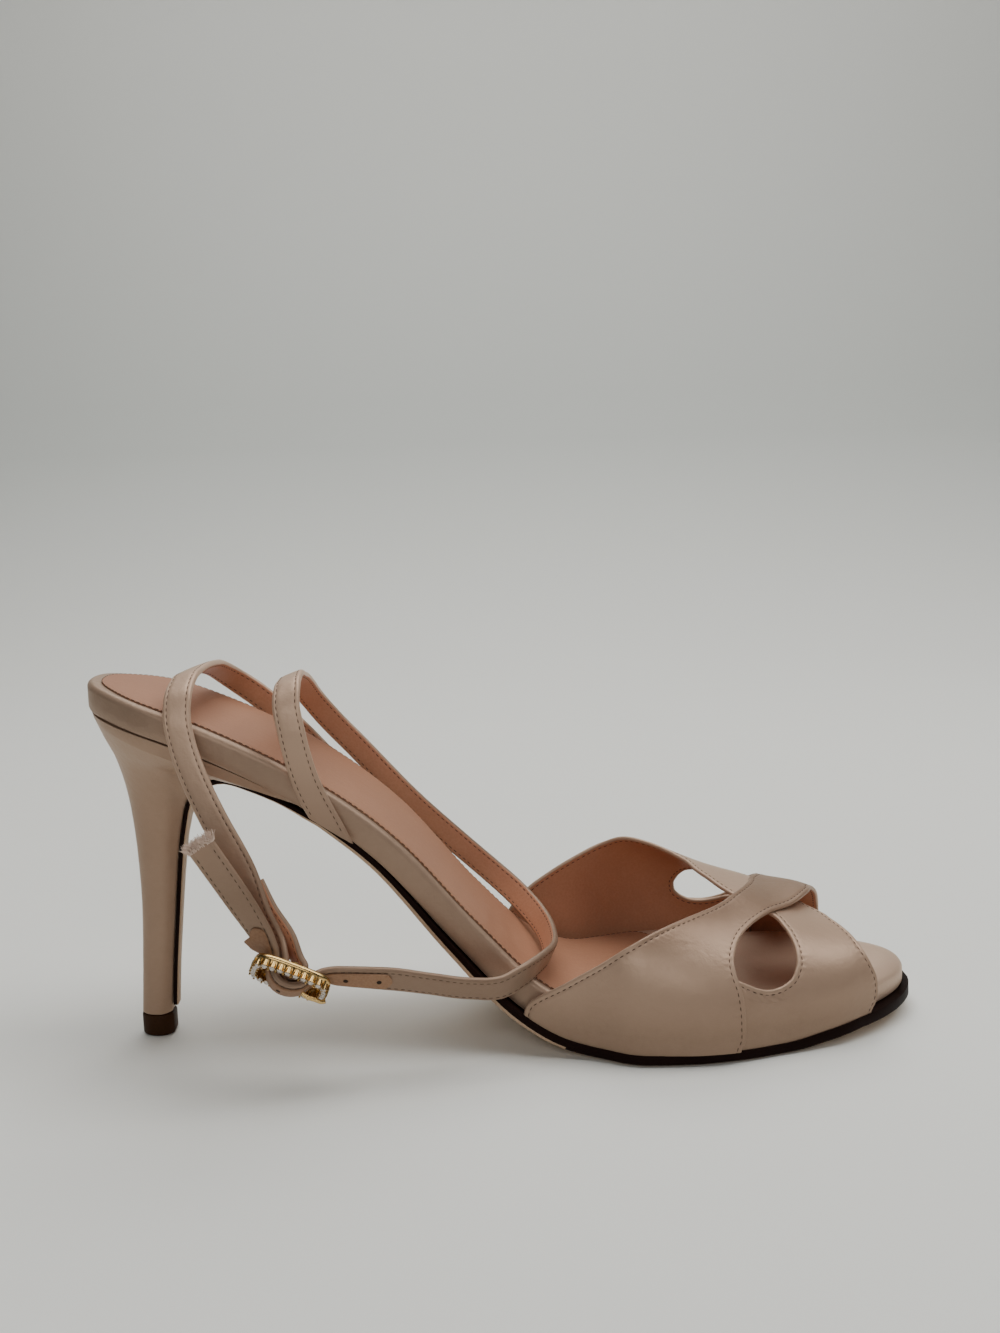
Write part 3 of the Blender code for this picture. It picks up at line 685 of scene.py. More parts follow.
class Finishes:
    """Every material of the shoe, made once."""

    def __init__(self) -> None:
        """Makes the materials."""
        # The board is lighter towards the toe and darker along the waist: painted light and painted shade.
        board = SatinFinish("board_satin", (0.36, 0.248, 0.18), (0.32, 0.216, 0.155),
                            far=(0.53, 0.378, 0.285))
        # The straps are lighter higher up and darker low down: painted light from above and painted shade.
        strap = SatinFinish("strap_satin", (0.27, 0.18, 0.128), (0.238, 0.156, 0.108),
                            far=(0.54, 0.37, 0.27), painted_light_axis=Axis.Z, painted_light_from=(0.05, 0.088))
        # The bands are darker low down and lighter higher up: painted shade and painted light.
        under = SatinFinish("under_satin", (0.31, 0.208, 0.147), (0.265, 0.175, 0.121),
                            far=(0.47, 0.322, 0.235), painted_light_axis=Axis.Z, painted_light_from=(0.008, 0.024))
        # Above that the over band darkens again: painted shade.
        over = replace(under, name="over_satin", top=(0.25, 0.158, 0.108))
        lining = LeatherFinish("peach_lining", (0.56, 0.275, 0.17), (0.49, 0.225, 0.13), roughness=0.48)
        sock = LeatherFinish("peach_sock", (0.39, 0.195, 0.118), (0.34, 0.16, 0.095),
                             roughness=0.55, pore_mm=0.03, gloss=0.18)
        paint = LeatherFinish("edge_paint", (0.013, 0.005, 0.004), (0.008, 0.003, 0.002),
                              pore_mm=0.02, gloss=0.05)
        sole = LeatherFinish("sole_leather", (0.52, 0.37, 0.25), (0.42, 0.28, 0.18), roughness=0.55)
        lift = LeatherFinish("top_lift", (0.05, 0.02, 0.007), (0.034, 0.013, 0.005), pore_mm=0.03, gloss=0.1)
        patch = LeatherFinish("brown_leather", (0.33, 0.185, 0.105), (0.23, 0.12, 0.065))
        # Near-black tone of the hole discs: painted shade for the holes.
        hole = LeatherFinish("painted_hole_shade", (0.03, 0.017, 0.01), (0.015, 0.008, 0.005), roughness=0.8)
        fray = ThreadFinish("frayed_satin", (0.72, 0.56, 0.47), (0.56, 0.42, 0.34))
        self.satin = SatinFinish().material()
        self.board, self.strap = board.material(), strap.material()
        self.under, self.over = under.material(), over.material()
        self.lining, self.sock = lining.material(), sock.material()
        self.paint, self.sole, self.lift = paint.material(), sole.material(), lift.material()
        self.patch, self.hole = patch.material(), hole.material()
        self.thread, self.fray = ThreadFinish().material(), fray.material()
        self.gold, self.stone = GoldFinish().material(), StoneFinish().material()


@dataclass
class Stitching:
    """Runs of stitches, gathered in one piece."""

    length: float = 1.2
    pitch: float = 1.75
    thick: float = 0.30
    rise_share: float = 0.42
    reach: float = 0.2
    around: int = 6
    rings: int = 5
    batch: int = 20
    bm: Mesh = field(default_factory=bmesh.new)

    def sew(self, path: Array, normals: Array) -> None:
        """Adds one run of stitches.

        Args:
            path: Points along the seam, on the surface.
            normals: The surface's normals there.
        """
        along = run_length(path)
        count = int(along[-1] / self.pitch)
        size = Matrix.Diagonal((self.length / 2, self.thick / 2, self.thick * self.rise_share, 1.0))
        run = bmesh.new()
        for i in range(count):
            if i % self.batch == self.batch - 1:
                gather(self.bm, run)
                run = bmesh.new()
            here = (i + 0.5) * along[-1] / count
            ahead = point_at(here + self.reach, along, path) - point_at(here - self.reach, along, path)
            out = Vector(point_at(here, along, normals)).normalized()
            forward = Vector(ahead).normalized()
            side = out.cross(forward).normalized()
            spot = Matrix.Translation(point_at(here, along, path))
            place = spot @ axes_turn(forward, side, forward.cross(side)) @ size
            bmesh.ops.create_uvsphere(run, u_segments=self.around, v_segments=self.rings, radius=1.0,
                                      matrix=place)
        gather(self.bm, run)

    def finish(self, name: str, thread: Material, slot: Slot) -> None:
        """Makes one piece of the stitches."""
        add_piece(name, self.bm, [thread])


@dataclass
class SoleForm:
    """The sole's line and outline, which the footbed, sock, sole and upper share."""

    length: float = TOE_END
    heel_round: float = 22.0
    back_power: float = 2.3
    toe_power: float = 2.2
    toe_swing: float = 3.0
    swing_start: float = 150.0
    upright_back: float = 25.0
    points: int = 436
    bed: Rows = (
        (0, 99.0), (6, 97.3), (20, 93.0), (40, 84.3), (60, 72.9), (80, 56.7), (100, 33.3), (115, 18.4),
        (124, 13.6), (136, 12.1), (147, 11.9), (176, 11.9), (187, 12.9), (199, 13.8), (217, 13.8))
    outline: Rows = (
        (6, 20.3, 20.3), (25, 24.2, 24.2), (50, 25.0, 24.6), (80, 23.2, 22.8), (105, 25.0, 24.4),
        (125, 30.4, 28.8), (142, 38.0, 35.6), (152, 38.4, 37.6), (165, 37.2, 36.0), (185, 32.4, 29.4),
        (200, 30.5, 23.8), (217, 27.5, 20.5))
    board: Rows = ((0, 7.6), (30, 7.0), (90, 7.2), (135, 8.6), (176, 8.6), (200, 7.6), (217, 6.6))
    sole: Rows = ((60, 2.2), (100, 2.6), (140, 3.0), (217, 3.0))
    board_inset: Rows = ((78, 0.0), (104, 2.5), (204, 2.5), (216, 1.6))
    sole_inset: Rows = ((54, 1.4), (85, 1.2), (112, -0.3), (217, -0.4))

    def __post_init__(self) -> None:
        """Makes the curves of the tables and the underside's line."""
        self.bed_z = Curve(*columns(self.bed), Slope.BED)
        xs, outer, inner = columns(self.outline)
        self.outer_width, self.inner_width = Curve(xs, outer), Curve(xs, inner)
        self.board_depth = Curve(*columns(self.board))
        self.sole_depth = Curve(*columns(self.sole))
        self.narrowing = Curve(*columns(self.board_inset))
        self.waist = Curve(*columns(self.sole_inset))
        self.line_x = np.linspace(0.0, self.length, self.points)
        line_z = self.bed_z(self.line_x)
        self.lean = np.gradient(line_z, self.line_x) * ease(self.line_x, 0.0, self.upright_back)
        self.line_s = run_length(np.column_stack([self.line_x, line_z]))
        under = self.place(self.line_x, np.zeros(self.points), -self.board_depth(self.line_x))
        self.under_x, self.under_z = under[:, 0], under[:, 2]

    def place(self, x: Array, y: Array, rise: Array) -> Array:
        """Points over the footbed's line.

        Args:
            x: Places along the line.
            y: Places across it.
            rise: Heights along the line's own normal.

        Returns:
            The points, with one more axis of three.
        """
        lean = np.interp(x, self.line_x, self.lean)
        up = rise / np.sqrt(1 + lean * lean)
        return np.stack(np.broadcast_arrays(x - lean * up, y, self.bed_z(x) + up), axis=-1)

    def underside(self, x: Array) -> Array:
        """Height of the board's underside."""
        return np.interp(x, self.under_x, self.under_z)

    def swing(self, x: Array) -> Array:
        """How far the toe's middle lies to the inner side."""
        return self.toe_swing * ease(x, self.swing_start, self.length)

    def edge_y(self, x: Array, side: Side, end: float = TOE_END, end_round: float = TOE_ROUND) -> Array:
        """Y of the sole's edge.

        Args:
            x: Places along the shoe.
            side: Outer or inner side.
            end: Where the front end is.
            end_round: Length over which that end is rounded.

        Returns:
            One Y for each place.
        """
        back = np.clip(1 - x / self.heel_round, 0.0, 1.0)
        front = np.clip((x - end + end_round) / end_round, 0.0, 1.0)
        rounding = (1 - back ** self.back_power) ** (1 / self.back_power)
        rounding = rounding * np.sqrt(1 - front ** self.toe_power)
        width = self.outer_width(x) if side is Side.OUTER else self.inner_width(x)
        return self.swing(x) + side.value * width * rounding

    def loop(self, stations: int, end: float = TOE_END,
             end_round: float = TOE_ROUND) -> tuple[Array, Array]:
        """The sole's edge, round from the back by the outer side.

        Args:
            stations: Steps along one side.
            end: Where the front end is.
            end_round: Length over which that end is rounded.

        Returns:
            Length along the line, and Y.
        """
        x = end * (1 - np.cos(np.linspace(0.0, math.pi, stations + 1))) / 2
        outer = self.edge_y(x, Side.OUTER, end, end_round)
        inner = self.edge_y(x[-2:0:-1], Side.INNER, end, end_round)
        s = np.interp(np.concatenate([x, x[-2:0:-1]]), self.line_x, self.line_s)
        return s, np.concatenate([outer, inner])

    def inset(self, loop: tuple[Array, Array], amount: Any) -> tuple[Array, Array]:
        """A loop moved in, with the room for the upper's wall left beside the board.

        Args:
            loop: Length along the line, and Y.
            amount: How far it moves.

        Returns:
            X and Y.
        """
        s, y = loop
        ds, dy = np.roll(s, -1) - np.roll(s, 1), np.roll(y, -1) - np.roll(y, 1)
        size = np.hypot(ds, dy)
        total = amount + self.narrowing(np.interp(s, self.line_s, self.line_x))
        return np.interp(s - dy / size * total, self.line_s, self.line_x), y + ds / size * total


@dataclass
class Footbed:
    """The satin-wrapped board, and the stitched peach sock that lies on it."""

    form: SoleForm
    finishes: Finishes
    stations: int = 150
    edge_rounds: Rows = ((150, 1.9), (185, 2.4), (204, 5.0), (218, 6.5))
    edge_drops: Rows = ((150, 1.9), (185, 2.0), (204, 2.9), (218, 3.3))
    arc_steps: int = 11
    wall_levels: Rows = ((1.0, 1.0, 0.0), (0.3, 1.0, 0.2), (0.0, 1.0, 0.8), (0.0, 0.6, 0.0))
    spine: Span = (20.0, 196.0)
    fill_shares: Sequence[float] = (0.12, 0.3, 0.5, 0.7, 0.86, 1.0)
    sock_end: float = 162.0
    sock_round: float = 20.0
    sock_spine: Span = (20.0, 146.0)
    sock_levels: Rows = (
        (2.4, 0.06), (2.2, 0.12), (2.15, 0.25), (2.25, 0.4), (2.45, 0.48), (2.7, 0.46), (3.1, 0.56),
        (3.8, 0.62))
    sock_fill: int = 16
    sock_back: float = 1.7
    sock_back_x: Span = (1.0, 16.0)
    creases: Rows = (
        (92.0, -6.0, 7.0), (97.0, -10.0, 6.0), (101.0, -4.0, 8.0), (105.5, -9.0, 6.0), (110.0, -2.0, 7.0))
    crease_height: float = 0.28
    crease_half: float = 2.2
    stitch_inset: float = 2.25
    stitch_rise: float = 0.42
    stitch_length: float = 1.5
    stitch_thick: float = 0.28

    def _fill(self, x: Array, y: Array, share: float, spine: Span) -> tuple[Array, Array]:
        """A ring moved towards the board's middle line.

        Args:
            x: X round the ring.
            y: Y round the ring.
            share: Share of the way.
            spine: X of the middle line's two ends.

        Returns:
            X and Y.
        """
        to_x = np.clip(x, *spine)
        to_x = (to_x + np.roll(to_x[::-1], 1)) / 2
        return x + share * (to_x - x), y + share * (self.form.swing(to_x) - y)

    def board(self) -> None:
        """Makes the board: underside, upright side, rounded top edge and top."""
        form, loop = self.form, self.form.loop(self.stations)
        x, y = form.inset(loop, self.wall_levels[0][0])
        rings = []
        for share in self.fill_shares[::-1]:
            low_x, low_y = self._fill(x, y, share, self.spine)
            rings.append(form.place(low_x, low_y, -form.board_depth(low_x)))
        for inset, share, rise in self.wall_levels:
            x, y = form.inset(loop, inset)
            rings.append(form.place(x, y, rise - share * form.board_depth(x)))
        stations = np.interp(loop[0], form.line_s, form.line_x)
        wide = Curve(*columns(self.edge_rounds))(stations)
        drop = Curve(*columns(self.edge_drops))(stations)
        for turn in np.linspace(0.0, math.pi / 2, self.arc_steps):
            x, y = form.inset(loop, wide * (1 - math.cos(turn)))
            rings.append(form.place(x, y, drop * (math.sin(turn) - 1)))
        for share in self.fill_shares:
            rings.append(form.place(*self._fill(x, y, share, self.spine), np.zeros(len(x))))
        add_piece("footbed_board", tube(rings), [self.finishes.board], ["footbed"])

    def sock(self) -> None:
        """Makes the sock lining, with its edge pressed down along the stitches and its worn creases."""
        form, loop = self.form, self.form.loop(self.stations, self.sock_end, self.sock_round)
        back = self.sock_back * (1 - ease(np.interp(loop[0], form.line_s, form.line_x), *self.sock_back_x))
        low_inset, low = self.sock_levels[0]
        x, y = form.inset(loop, low_inset + back)
        rings = []
        for share in self.fill_shares[::-1]:
            rings.append(form.place(*self._fill(x, y, share, self.sock_spine), np.full(len(x), low)))
        for inset, rise in self.sock_levels:
            x, y = form.inset(loop, inset + back)
            rings.append(form.place(x, y, np.full(len(x), rise)))
        for share in np.linspace(0.0, 1.0, self.sock_fill + 1)[1:]:
            fx, fy = self._fill(x, y, share, self.sock_spine)
            rings.append(form.place(fx, fy, self.sock_levels[-1][1] + self._wear(fx, fy)))
        add_piece("sock_lining", tube(rings), [self.finishes.sock], ["sock"])
        x, y = form.inset(loop, self.stitch_inset + back)
        path = form.place(x, y, np.full(len(x), self.stitch_rise))
        sewing = Stitching(length=self.stitch_length, thick=self.stitch_thick)
        sewing.sew(closed(path[None])[0], self._up(path))
        sewing.finish("sock_stitches", self.finishes.thread, Slot.LINING)

    def _up(self, path: Array) -> Array:
        """Normals of the footbed along a closed path.

        Args:
            path: The path's points.

        Returns:
            A normal for each point, and the first once more.
        """
        lean = np.interp(path[:, 0], self.form.line_x, self.form.lean)
        up = unit(np.column_stack([-lean, np.zeros(len(lean)), np.ones(len(lean))]))
        return np.concatenate([up, up[:1]])

    def _wear(self, x: Array, y: Array) -> Array:
        """Height of the sock's worn creases across the arch.

        Args:
            x: X of the points.
            y: Y of the points.

        Returns:
            One height for each point.
        """
        height = np.zeros(len(x))
        for at_x, at_y, half in self.creases:
            wave = np.sin(np.clip((x - at_x) / self.crease_half, -1, 1) * math.pi)
            height += self.crease_height * hump(y, at_y, half) * wave
        return height

    def build(self) -> None:
        """Makes and dresses the board and the sock."""
        self.board()
        self.sock()


@dataclass
class Heel:
    """The satin-wrapped heel with its wing under the seat, and its dark top lift."""

    form: SoleForm
    finishes: Finishes
    gap: float = 0.3
    rings: int = 64
    side_points: int = 30
    back_power: float = 2.1
    front_power: float = 2.4
    tip_height: float = 6.0
    sections: Rows = (
        (7.9, 6.3, 16.2, 6.3, 4.6, 0.62, 2.2), (8.8, 20.0, 17.3, 20.0, 4.6, 0.62, 2.2),
        (9.6, 35.0, 18.9, 35.0, 5.1, 0.62, 2.4), (9.6, 46.0, 20.2, 46.2, 5.9, 0.62, 2.8),
        (9.1, 57.2, 21.9, 57.0, 7.3, 0.62, 3.6), (8.0, 67.6, 25.4, 67.0, 10.2, 0.60, 6.5),
        (5.9, 77.2, 34.5, 72.4, 15.5, 0.52, 12.0), (2.9, 84.6, 46.2, 70.0, 20.5, 0.47, 17.6),
        (0.7, 90.6, 57.0, 66.4, 24.2, 0.42, 22.0))
    tip: Sequence[float] = (7.75, 0.0, 16.6, 0.0, 4.7, 0.62, 2.5)
    seat_rim: Rows = ((1.5, 0.04), (2.2, 0.6))
    foot_inset: float = 0.35
    foot_gap: float = 0.02
    tip_levels: Rows = (
        (0.0, 0.7), (0.15, 0.3), (0.5, 0.06), (0.9, 0.0), (5.3, 0.0), (5.8, 0.12), (6.0, 0.4))

    def size_at(self, share: float) -> list[float]:
        """The heel's sizes at a share of the way from its tip to the seat."""
        steps = np.arange(len(self.sections), dtype=float)
        curves = [Curve(steps, column, Slope.FREE) for column in columns(self.sections)]
        return [float(curve(share * steps[-1])) for curve in curves]

    def ring(self, size: Sequence[float], inset: float) -> tuple[Array, Array]:
        """A section: round at the back, narrowing to a flat front.

        Args:
            size: Back X and Z, front X and Z, half width, the share of the way forward where the section
                is that wide, and half width of the front.
            inset: How far the section is moved in.

        Returns:
            X and Y.
        """
        back_x, _, front_x, _, half, middle, front_half = size
        back_x, front_x = back_x + inset, front_x - inset
        half, front_half = half - inset, front_half - inset
        shares = (1 - np.cos(np.linspace(0.0, math.pi, self.side_points + 1))) / 2
        behind = np.clip(1 - shares / middle, 0.0, 1.0)
        ahead = np.clip((shares - middle) / (1 - middle), 0.0, 1.0)
        width = half * (1 - behind ** self.back_power) ** (1 / self.back_power)
        width -= (half - front_half) * ahead ** self.front_power
        x = back_x + shares * (front_x - back_x)
        corner = np.array([front_x])
        return np.concatenate([x, corner, x[:0:-1]]), np.concatenate([-width, [0.0], width[:0:-1]])

    def build(self) -> None:
        """Makes and dresses the heel and its top lift."""
        rows = []
        for share in np.linspace(0.0, 1.0, self.rings):
            size = self.size_at(share)
            x, y = self.ring(size, 0.0)
            fall = (size[3] - size[1]) / (size[2] - size[0])
            roof = self.form.underside(x) - self.gap
            z = roof if share == 1.0 else np.minimum(size[1] + fall * (x - size[0]), roof - self.gap)
            rows.append(np.stack([x, y, z], axis=-1))
        for inset, below in self.seat_rim:
            x, y = self.ring(self.size_at(1.0), inset)
            rows.append(np.stack([x, y, self.form.underside(x) - below], axis=-1))
        x, y = self.ring(self.size_at(0.0), self.foot_inset)
        rows.insert(0, np.stack([x, y, np.full(len(x), self.tip_height + self.foot_gap)], axis=-1))
        add_piece("heel_cover", tube(rows), [self.finishes.satin], ["heel"])
        lift = []
        for z, inset in self.tip_levels:
            x, y = self.ring(self.tip, inset)
            lift.append(np.stack([x, y, np.full(len(x), z)], axis=-1))
        add_piece("heel_top_lift", tube(lift), [self.finishes.lift], ["heel_tip"])


@dataclass
class Outsole:
    """The leather sole: a flap down the heel's front, the waist and the tread, with a painted edge."""

    form: SoleForm
    heel: Heel
    finishes: Finishes
    gap: float = 0.3
    flap_depth: float = 1.25
    smooth_reach: int = 6
    smooth_passes: int = 8
    flap_span: Span = (0.015, 0.985)
    tread_span: Span = (0.17, 0.985)
    flap_stations: int = 40
    tread_stations: int = 110
    tread_start: float = 58.0
    bevels: Rows = (
        (17, 0.3), (36, 0.2), (50, 0.3), (64, 0.9), (95, 1.2), (120, 0.9), (150, 0.55), (217, 0.5))
    bevel_knee: Span = (0.6, 0.35)
    corner: float = 0.12
    floor_round: float = 0.9
    dark_from: float = 122.0
    bare_cells: tuple[int, int] = (5, 11)
    bevel_cells: Sequence[tuple[int, int]] = ((5, 7), (9, 11))

    def _tops(self) -> list[Station]:
        """The sole's stations, from the flap's foot to the toe.

        Returns:
            Top middle point, outer Y, inner Y and depth of each.
        """
        tops = []
        for share in np.linspace(*self.flap_span, self.flap_stations):
            _, _, front_x, front_z, _, _, half = self.heel.size_at(share)
            front_z = min(front_z, float(self.form.underside(front_x)) - 2 * self.gap)
            tops.append((np.array([front_x, 0.0, front_z]), -half, half, self.flap_depth))
        turn = math.pi * np.linspace(*self.tread_span, self.tread_stations)
        for x in self.tread_start + (self.form.length - self.tread_start) * (1 - np.cos(turn)) / 2:
            top = self.form.place(x, 0.0, -self.form.board_depth(x) - self.gap)
            inset = float(self.form.waist(x))
            outer = self.form.edge_y(x, Side.OUTER) + inset
            inner = self.form.edge_y(x, Side.INNER) - inset
            tops.append((top, float(outer), float(inner), float(self.form.sole_depth(x))))
        return self._smoothed(tops)

    def _smoothed(self, tops: list[Station]) -> list[Station]:
        """The stations with their bend between flap and waist evened out.

        Args:
            tops: The stations as worked out.

        Returns:
            As many stations.
        """
        rows = np.array([(*top, outer, inner, depth) for top, outer, inner, depth in tops])
        near = np.arange(self.flap_stations - self.smooth_reach, self.flap_stations + self.smooth_reach)
        for _ in range(self.smooth_passes):
            rows[near] = (rows[near - 1] + 2 * rows[near] + rows[near + 1]) / 4
        return [(row[:3], *map(float, row[3:])) for row in rows]

    def build(self) -> None:
        """Makes and dresses the sole: painted sides, bare leather below and on the waist's bevel."""
        tops, rows, bevel_at = self._tops(), [], Curve(*columns(self.bevels))
        for i, (top, outer, inner, depth) in enumerate(tops):
            ahead = tops[min(i + 1, len(tops) - 1)][0] - tops[max(i - 1, 0)][0]
            down = unit(np.array([ahead[2], 0.0, -ahead[0]]))
            top = top + down * (self.gap if i < self.flap_stations else 0.0)
            bevel, c = float(bevel_at(top[0])), self.corner
            knee_y, knee_drop = self.bevel_knee
            half = [(0.0, 0.0), (outer + c, 0.0), (outer + c / 3, c / 3), (outer, c),
                    (outer, depth - bevel - c), (outer + c / 3, depth - bevel),
                    (outer + bevel * knee_y, depth - bevel * knee_drop),
                    (outer + bevel + c, depth), ((outer + inner) / 2, depth)]
            other = [(outer + inner - y, drop) for y, drop in half[-2:0:-1]]
            ring = np.array([top + down * drop + np.array([0.0, y, 0.0]) for y, drop in half + other])
            ring[:, 2] = (ring[:, 2] + np.sqrt(ring[:, 2] ** 2 + self.floor_round ** 2)) / 2
            rows.append(ring)
        points = closed(np.array(rows))
        slots = np.zeros((points.shape[0] - 1, points.shape[1] - 1))
        slots[:, slice(*self.bare_cells)] = 1
        fore = points[:-1, 0, 0] > self.dark_from
        for cells in self.bevel_cells:
            slots[fore, slice(*cells)] = 0
        finishes = [self.finishes.paint, self.finishes.sole]
        add_piece("outsole_leather", cap(skin(points, slots)), finishes, ["outsole"])


@dataclass
class LastForm:
    """The last over the vamp: superellipse sections with their crest to the inner side."""

    sole: SoleForm
    rows: Rows = (
        (104, 62.0, 8, 2.6), (125, 55.8, 9, 2.6), (138, 49.6, 10, 2.6), (150, 43.6, 10, 2.6),
        (165, 37.2, 8, 2.6), (177, 33.7, 5, 2.7), (190, 28.8, 2.5, 2.9), (207, 26.0, 2, 3.0))
    bulge: float = 1.0
    base_drop: float = 0.25

    def __post_init__(self) -> None:
        """Makes the curves of the table."""
        xs, crest_z, crest_y, power = columns(self.rows)
        self.crest_z = Curve(xs, crest_z, Slope.FREE)
        self.crest_y, self.power = Curve(xs, crest_y), Curve(xs, power)

    def point(self, x: Array, t: Array, lift: Array) -> Array:
        """Points on the last.

        Args:
            x: Places along the shoe.
            t: Places round the section, from -1 at the outer base by 0 at the crest to 1 at the inner base.
            lift: Heights over the last, along the section's normal.

        Returns:
            The points, with one more axis of three.
        """
        side = np.where(t < 0, -1.0, 1.0)
        power, crest_y = self.power(x), self.crest_y(x)
        base = self.sole.underside(x) - self.base_drop
        station = np.interp(x, self.sole.under_x, self.sole.line_x)
        outer, inner = (self.sole.edge_y(station, which) for which in Side)
        edge = np.where(t < 0, outer, inner)
        reach, tall = edge - crest_y, self.crest_z(x) - base
        turn = np.clip(np.abs(t), 0.0, 1.0) * math.pi / 2
        across = np.sin(turn) ** (2 / power)
        up = np.clip(np.cos(turn), 0.0, 1.0) ** (2 / power)
        bulge = side * self.bulge * np.sin(math.pi * up)
        slopes = [side * across ** (power - 1) / np.abs(reach), up ** (power - 1) / tall]
        normal = unit(np.stack(slopes, axis=-1))
        y = crest_y + reach * across + bulge + normal[..., 0] * lift
        return np.stack([x, y, base + tall * up + normal[..., 1] * lift], axis=-1)


@dataclass
class Band:
    """One band of the upper, between its rear and front edges on the last."""

    name: str
    last: LastForm
    rear: Rows
    front: Rows
    lift: Callable[[Array, Array], Array]
    wall: float = 1.15
    rows: int = 320
    middle_columns: int = 30
    relax: int = 400
    girth: float = 36.0
    probe: Span = (0.002, 0.05)
    edge_steps: Sequence[float] = (0.0, 0.08, 0.2, 0.36, 0.58, 0.85, 1.1, 1.35, 1.6, 1.9, 2.4, 3.2)
    far: float = 9.0
    stitch_at: float = 1.35
    groove: float = 0.12
    groove_half: float = 0.32
    lining_groove: float = 0.5
    pucker: float = 0.04
    pucker_pitch: float = 1.75
    pucker_at: float = 1.7
    pucker_half: float = 1.1
    pucker_in: Span = (0.2, 0.9)
    gathers: Rows = ((-1, 0), (1, 0))
    gather_pitch: float = 2.6
    gather_in: Span = (0.6, 1.8)
    gather_out: Span = (2.2, 4.0)
    turned_edge: float = 0.62

    def _edge(self, rows: Rows) -> tuple[Array, Array]:
        """One edge of the band, at every row of the mesh.

        Args:
            rows: Row from -1 to 1, place round the section and X.

        Returns:
            Places round the section, and X.
        """
        us, ts, xs = columns(rows)
        u = np.linspace(-1.0, 1.0, self.rows)
        return np.clip(Curve(us, ts, Slope.FREE)(u), -1.0, 1.0), Curve(us, xs, Slope.FREE)(u)

    def sheet(self, t: Array, x: Array) -> Array:
        """Points on the band's outer face."""
        return self.last.point(x, t, self.lift(x, t))

    def _ways(self, t: Array, x: Array) -> tuple[Array, Array]:
        """How the outer face runs with place round the section and with X.

        Args:
            t: Places round the section.
            x: Places along the shoe.

        Returns:
            Change with t, and change with x.
        """
        dt, dx = self.probe
        inside = np.clip(t, dt - 1, 1 - dt)
        by_t = (self.sheet(inside + dt, x) - self.sheet(inside - dt, x)) / (2 * dt)
        return by_t, (self.sheet(t, x + dx) - self.sheet(t, x - dx)) / (2 * dx)

    def _inward(self, t: Array, x: Array, toward: int) -> Array:
        """Lines that leave an edge square to it.

        Args:
            t: Places round the section along the edge.
            x: X along the edge.
            toward: 1 where the band lies to the front of the edge, -1 where it lies behind.

        Returns:
            Place and X at each distance of edge_steps, as (2, rows, steps).
        """
        by_t, by_x = self._ways(t, x)
        into = np.cross(unit(np.cross(by_x, by_t)), unit(np.gradient(self.sheet(t, x), axis=0)))
        if (into * by_x).sum() * toward < 0:
            into = -into
        ts, xs = [t], [x]
        for step in np.diff(self.edge_steps):
            by_t, by_x = self._ways(ts[-1], xs[-1])
            a, b, c = (by_x * by_x).sum(-1), (by_x * by_t).sum(-1), (by_t * by_t).sum(-1)
            along_x, along_t = (by_x * into).sum(-1), (by_t * into).sum(-1)
            size = a * c - b * b
            xs.append(xs[-1] + step * (c * along_x - b * along_t) / size)
            ts.append(np.clip(ts[-1] + step * (a * along_t - b * along_x) / size, -1.0, 1.0))
        lines = np.stack([np.stack(ts, axis=1), np.stack(xs, axis=1)])
        lines[0, [0, -1]] = t[[0, -1], None]
        return lines

    def lay(self) -> None:
        """Works out the band's outer face, its normals and each column's distance from the nearer edge."""
        rear = self._inward(*self._edge(self.rear), 1)
        front = self._inward(*self._edge(self.front), -1)[:, :, ::-1]
        shares = np.linspace(0.0, 1.0, self.middle_columns + 2)[1:-1]
        middle = rear[:, :, -1:] + shares * (front[:, :, :1] - rear[:, :, -1:])
        grid = np.concatenate([rear, middle, front], axis=2)
        near = len(self.edge_steps)
        grid[0] *= self.girth
        for _ in range(self.relax):
            part = grid[:, :, near - 1:grid.shape[2] - near + 1]
            above, below = part[:, :-2, 1:-1], part[:, 2:, 1:-1]
            before, after = part[:, 1:-1, :-2], part[:, 1:-1, 2:]
            corners = part[:, 2:, 2:] - part[:, 2:, :-2] - part[:, :-2, 2:] + part[:, :-2, :-2]
            wide, tall = (after - before) / 2, (below - above) / 2
            a, b, c = (wide * wide).sum(0), (wide * tall).sum(0), (tall * tall).sum(0)
            evened = a * (above + below) + c * (before + after) - b * corners / 2
            part[:, 1:-1, 1:-1] = evened / (2 * (a + c))
        grid[0] /= self.girth
        self.outer = self.sheet(*grid)
        by_t, by_x = self._ways(*grid)
        self.normals = unit(np.cross(by_x, by_t))
        if self.normals[..., 2].sum() < 0:
            self.normals = -self.normals
        steps = np.array(self.edge_steps)
        from_edge = np.concatenate([steps, np.full(self.middle_columns, self.far), steps[::-1]])
        self.from_edge = np.tile(from_edge, (self.rows, 1))
        self.along = run_length(self.outer)

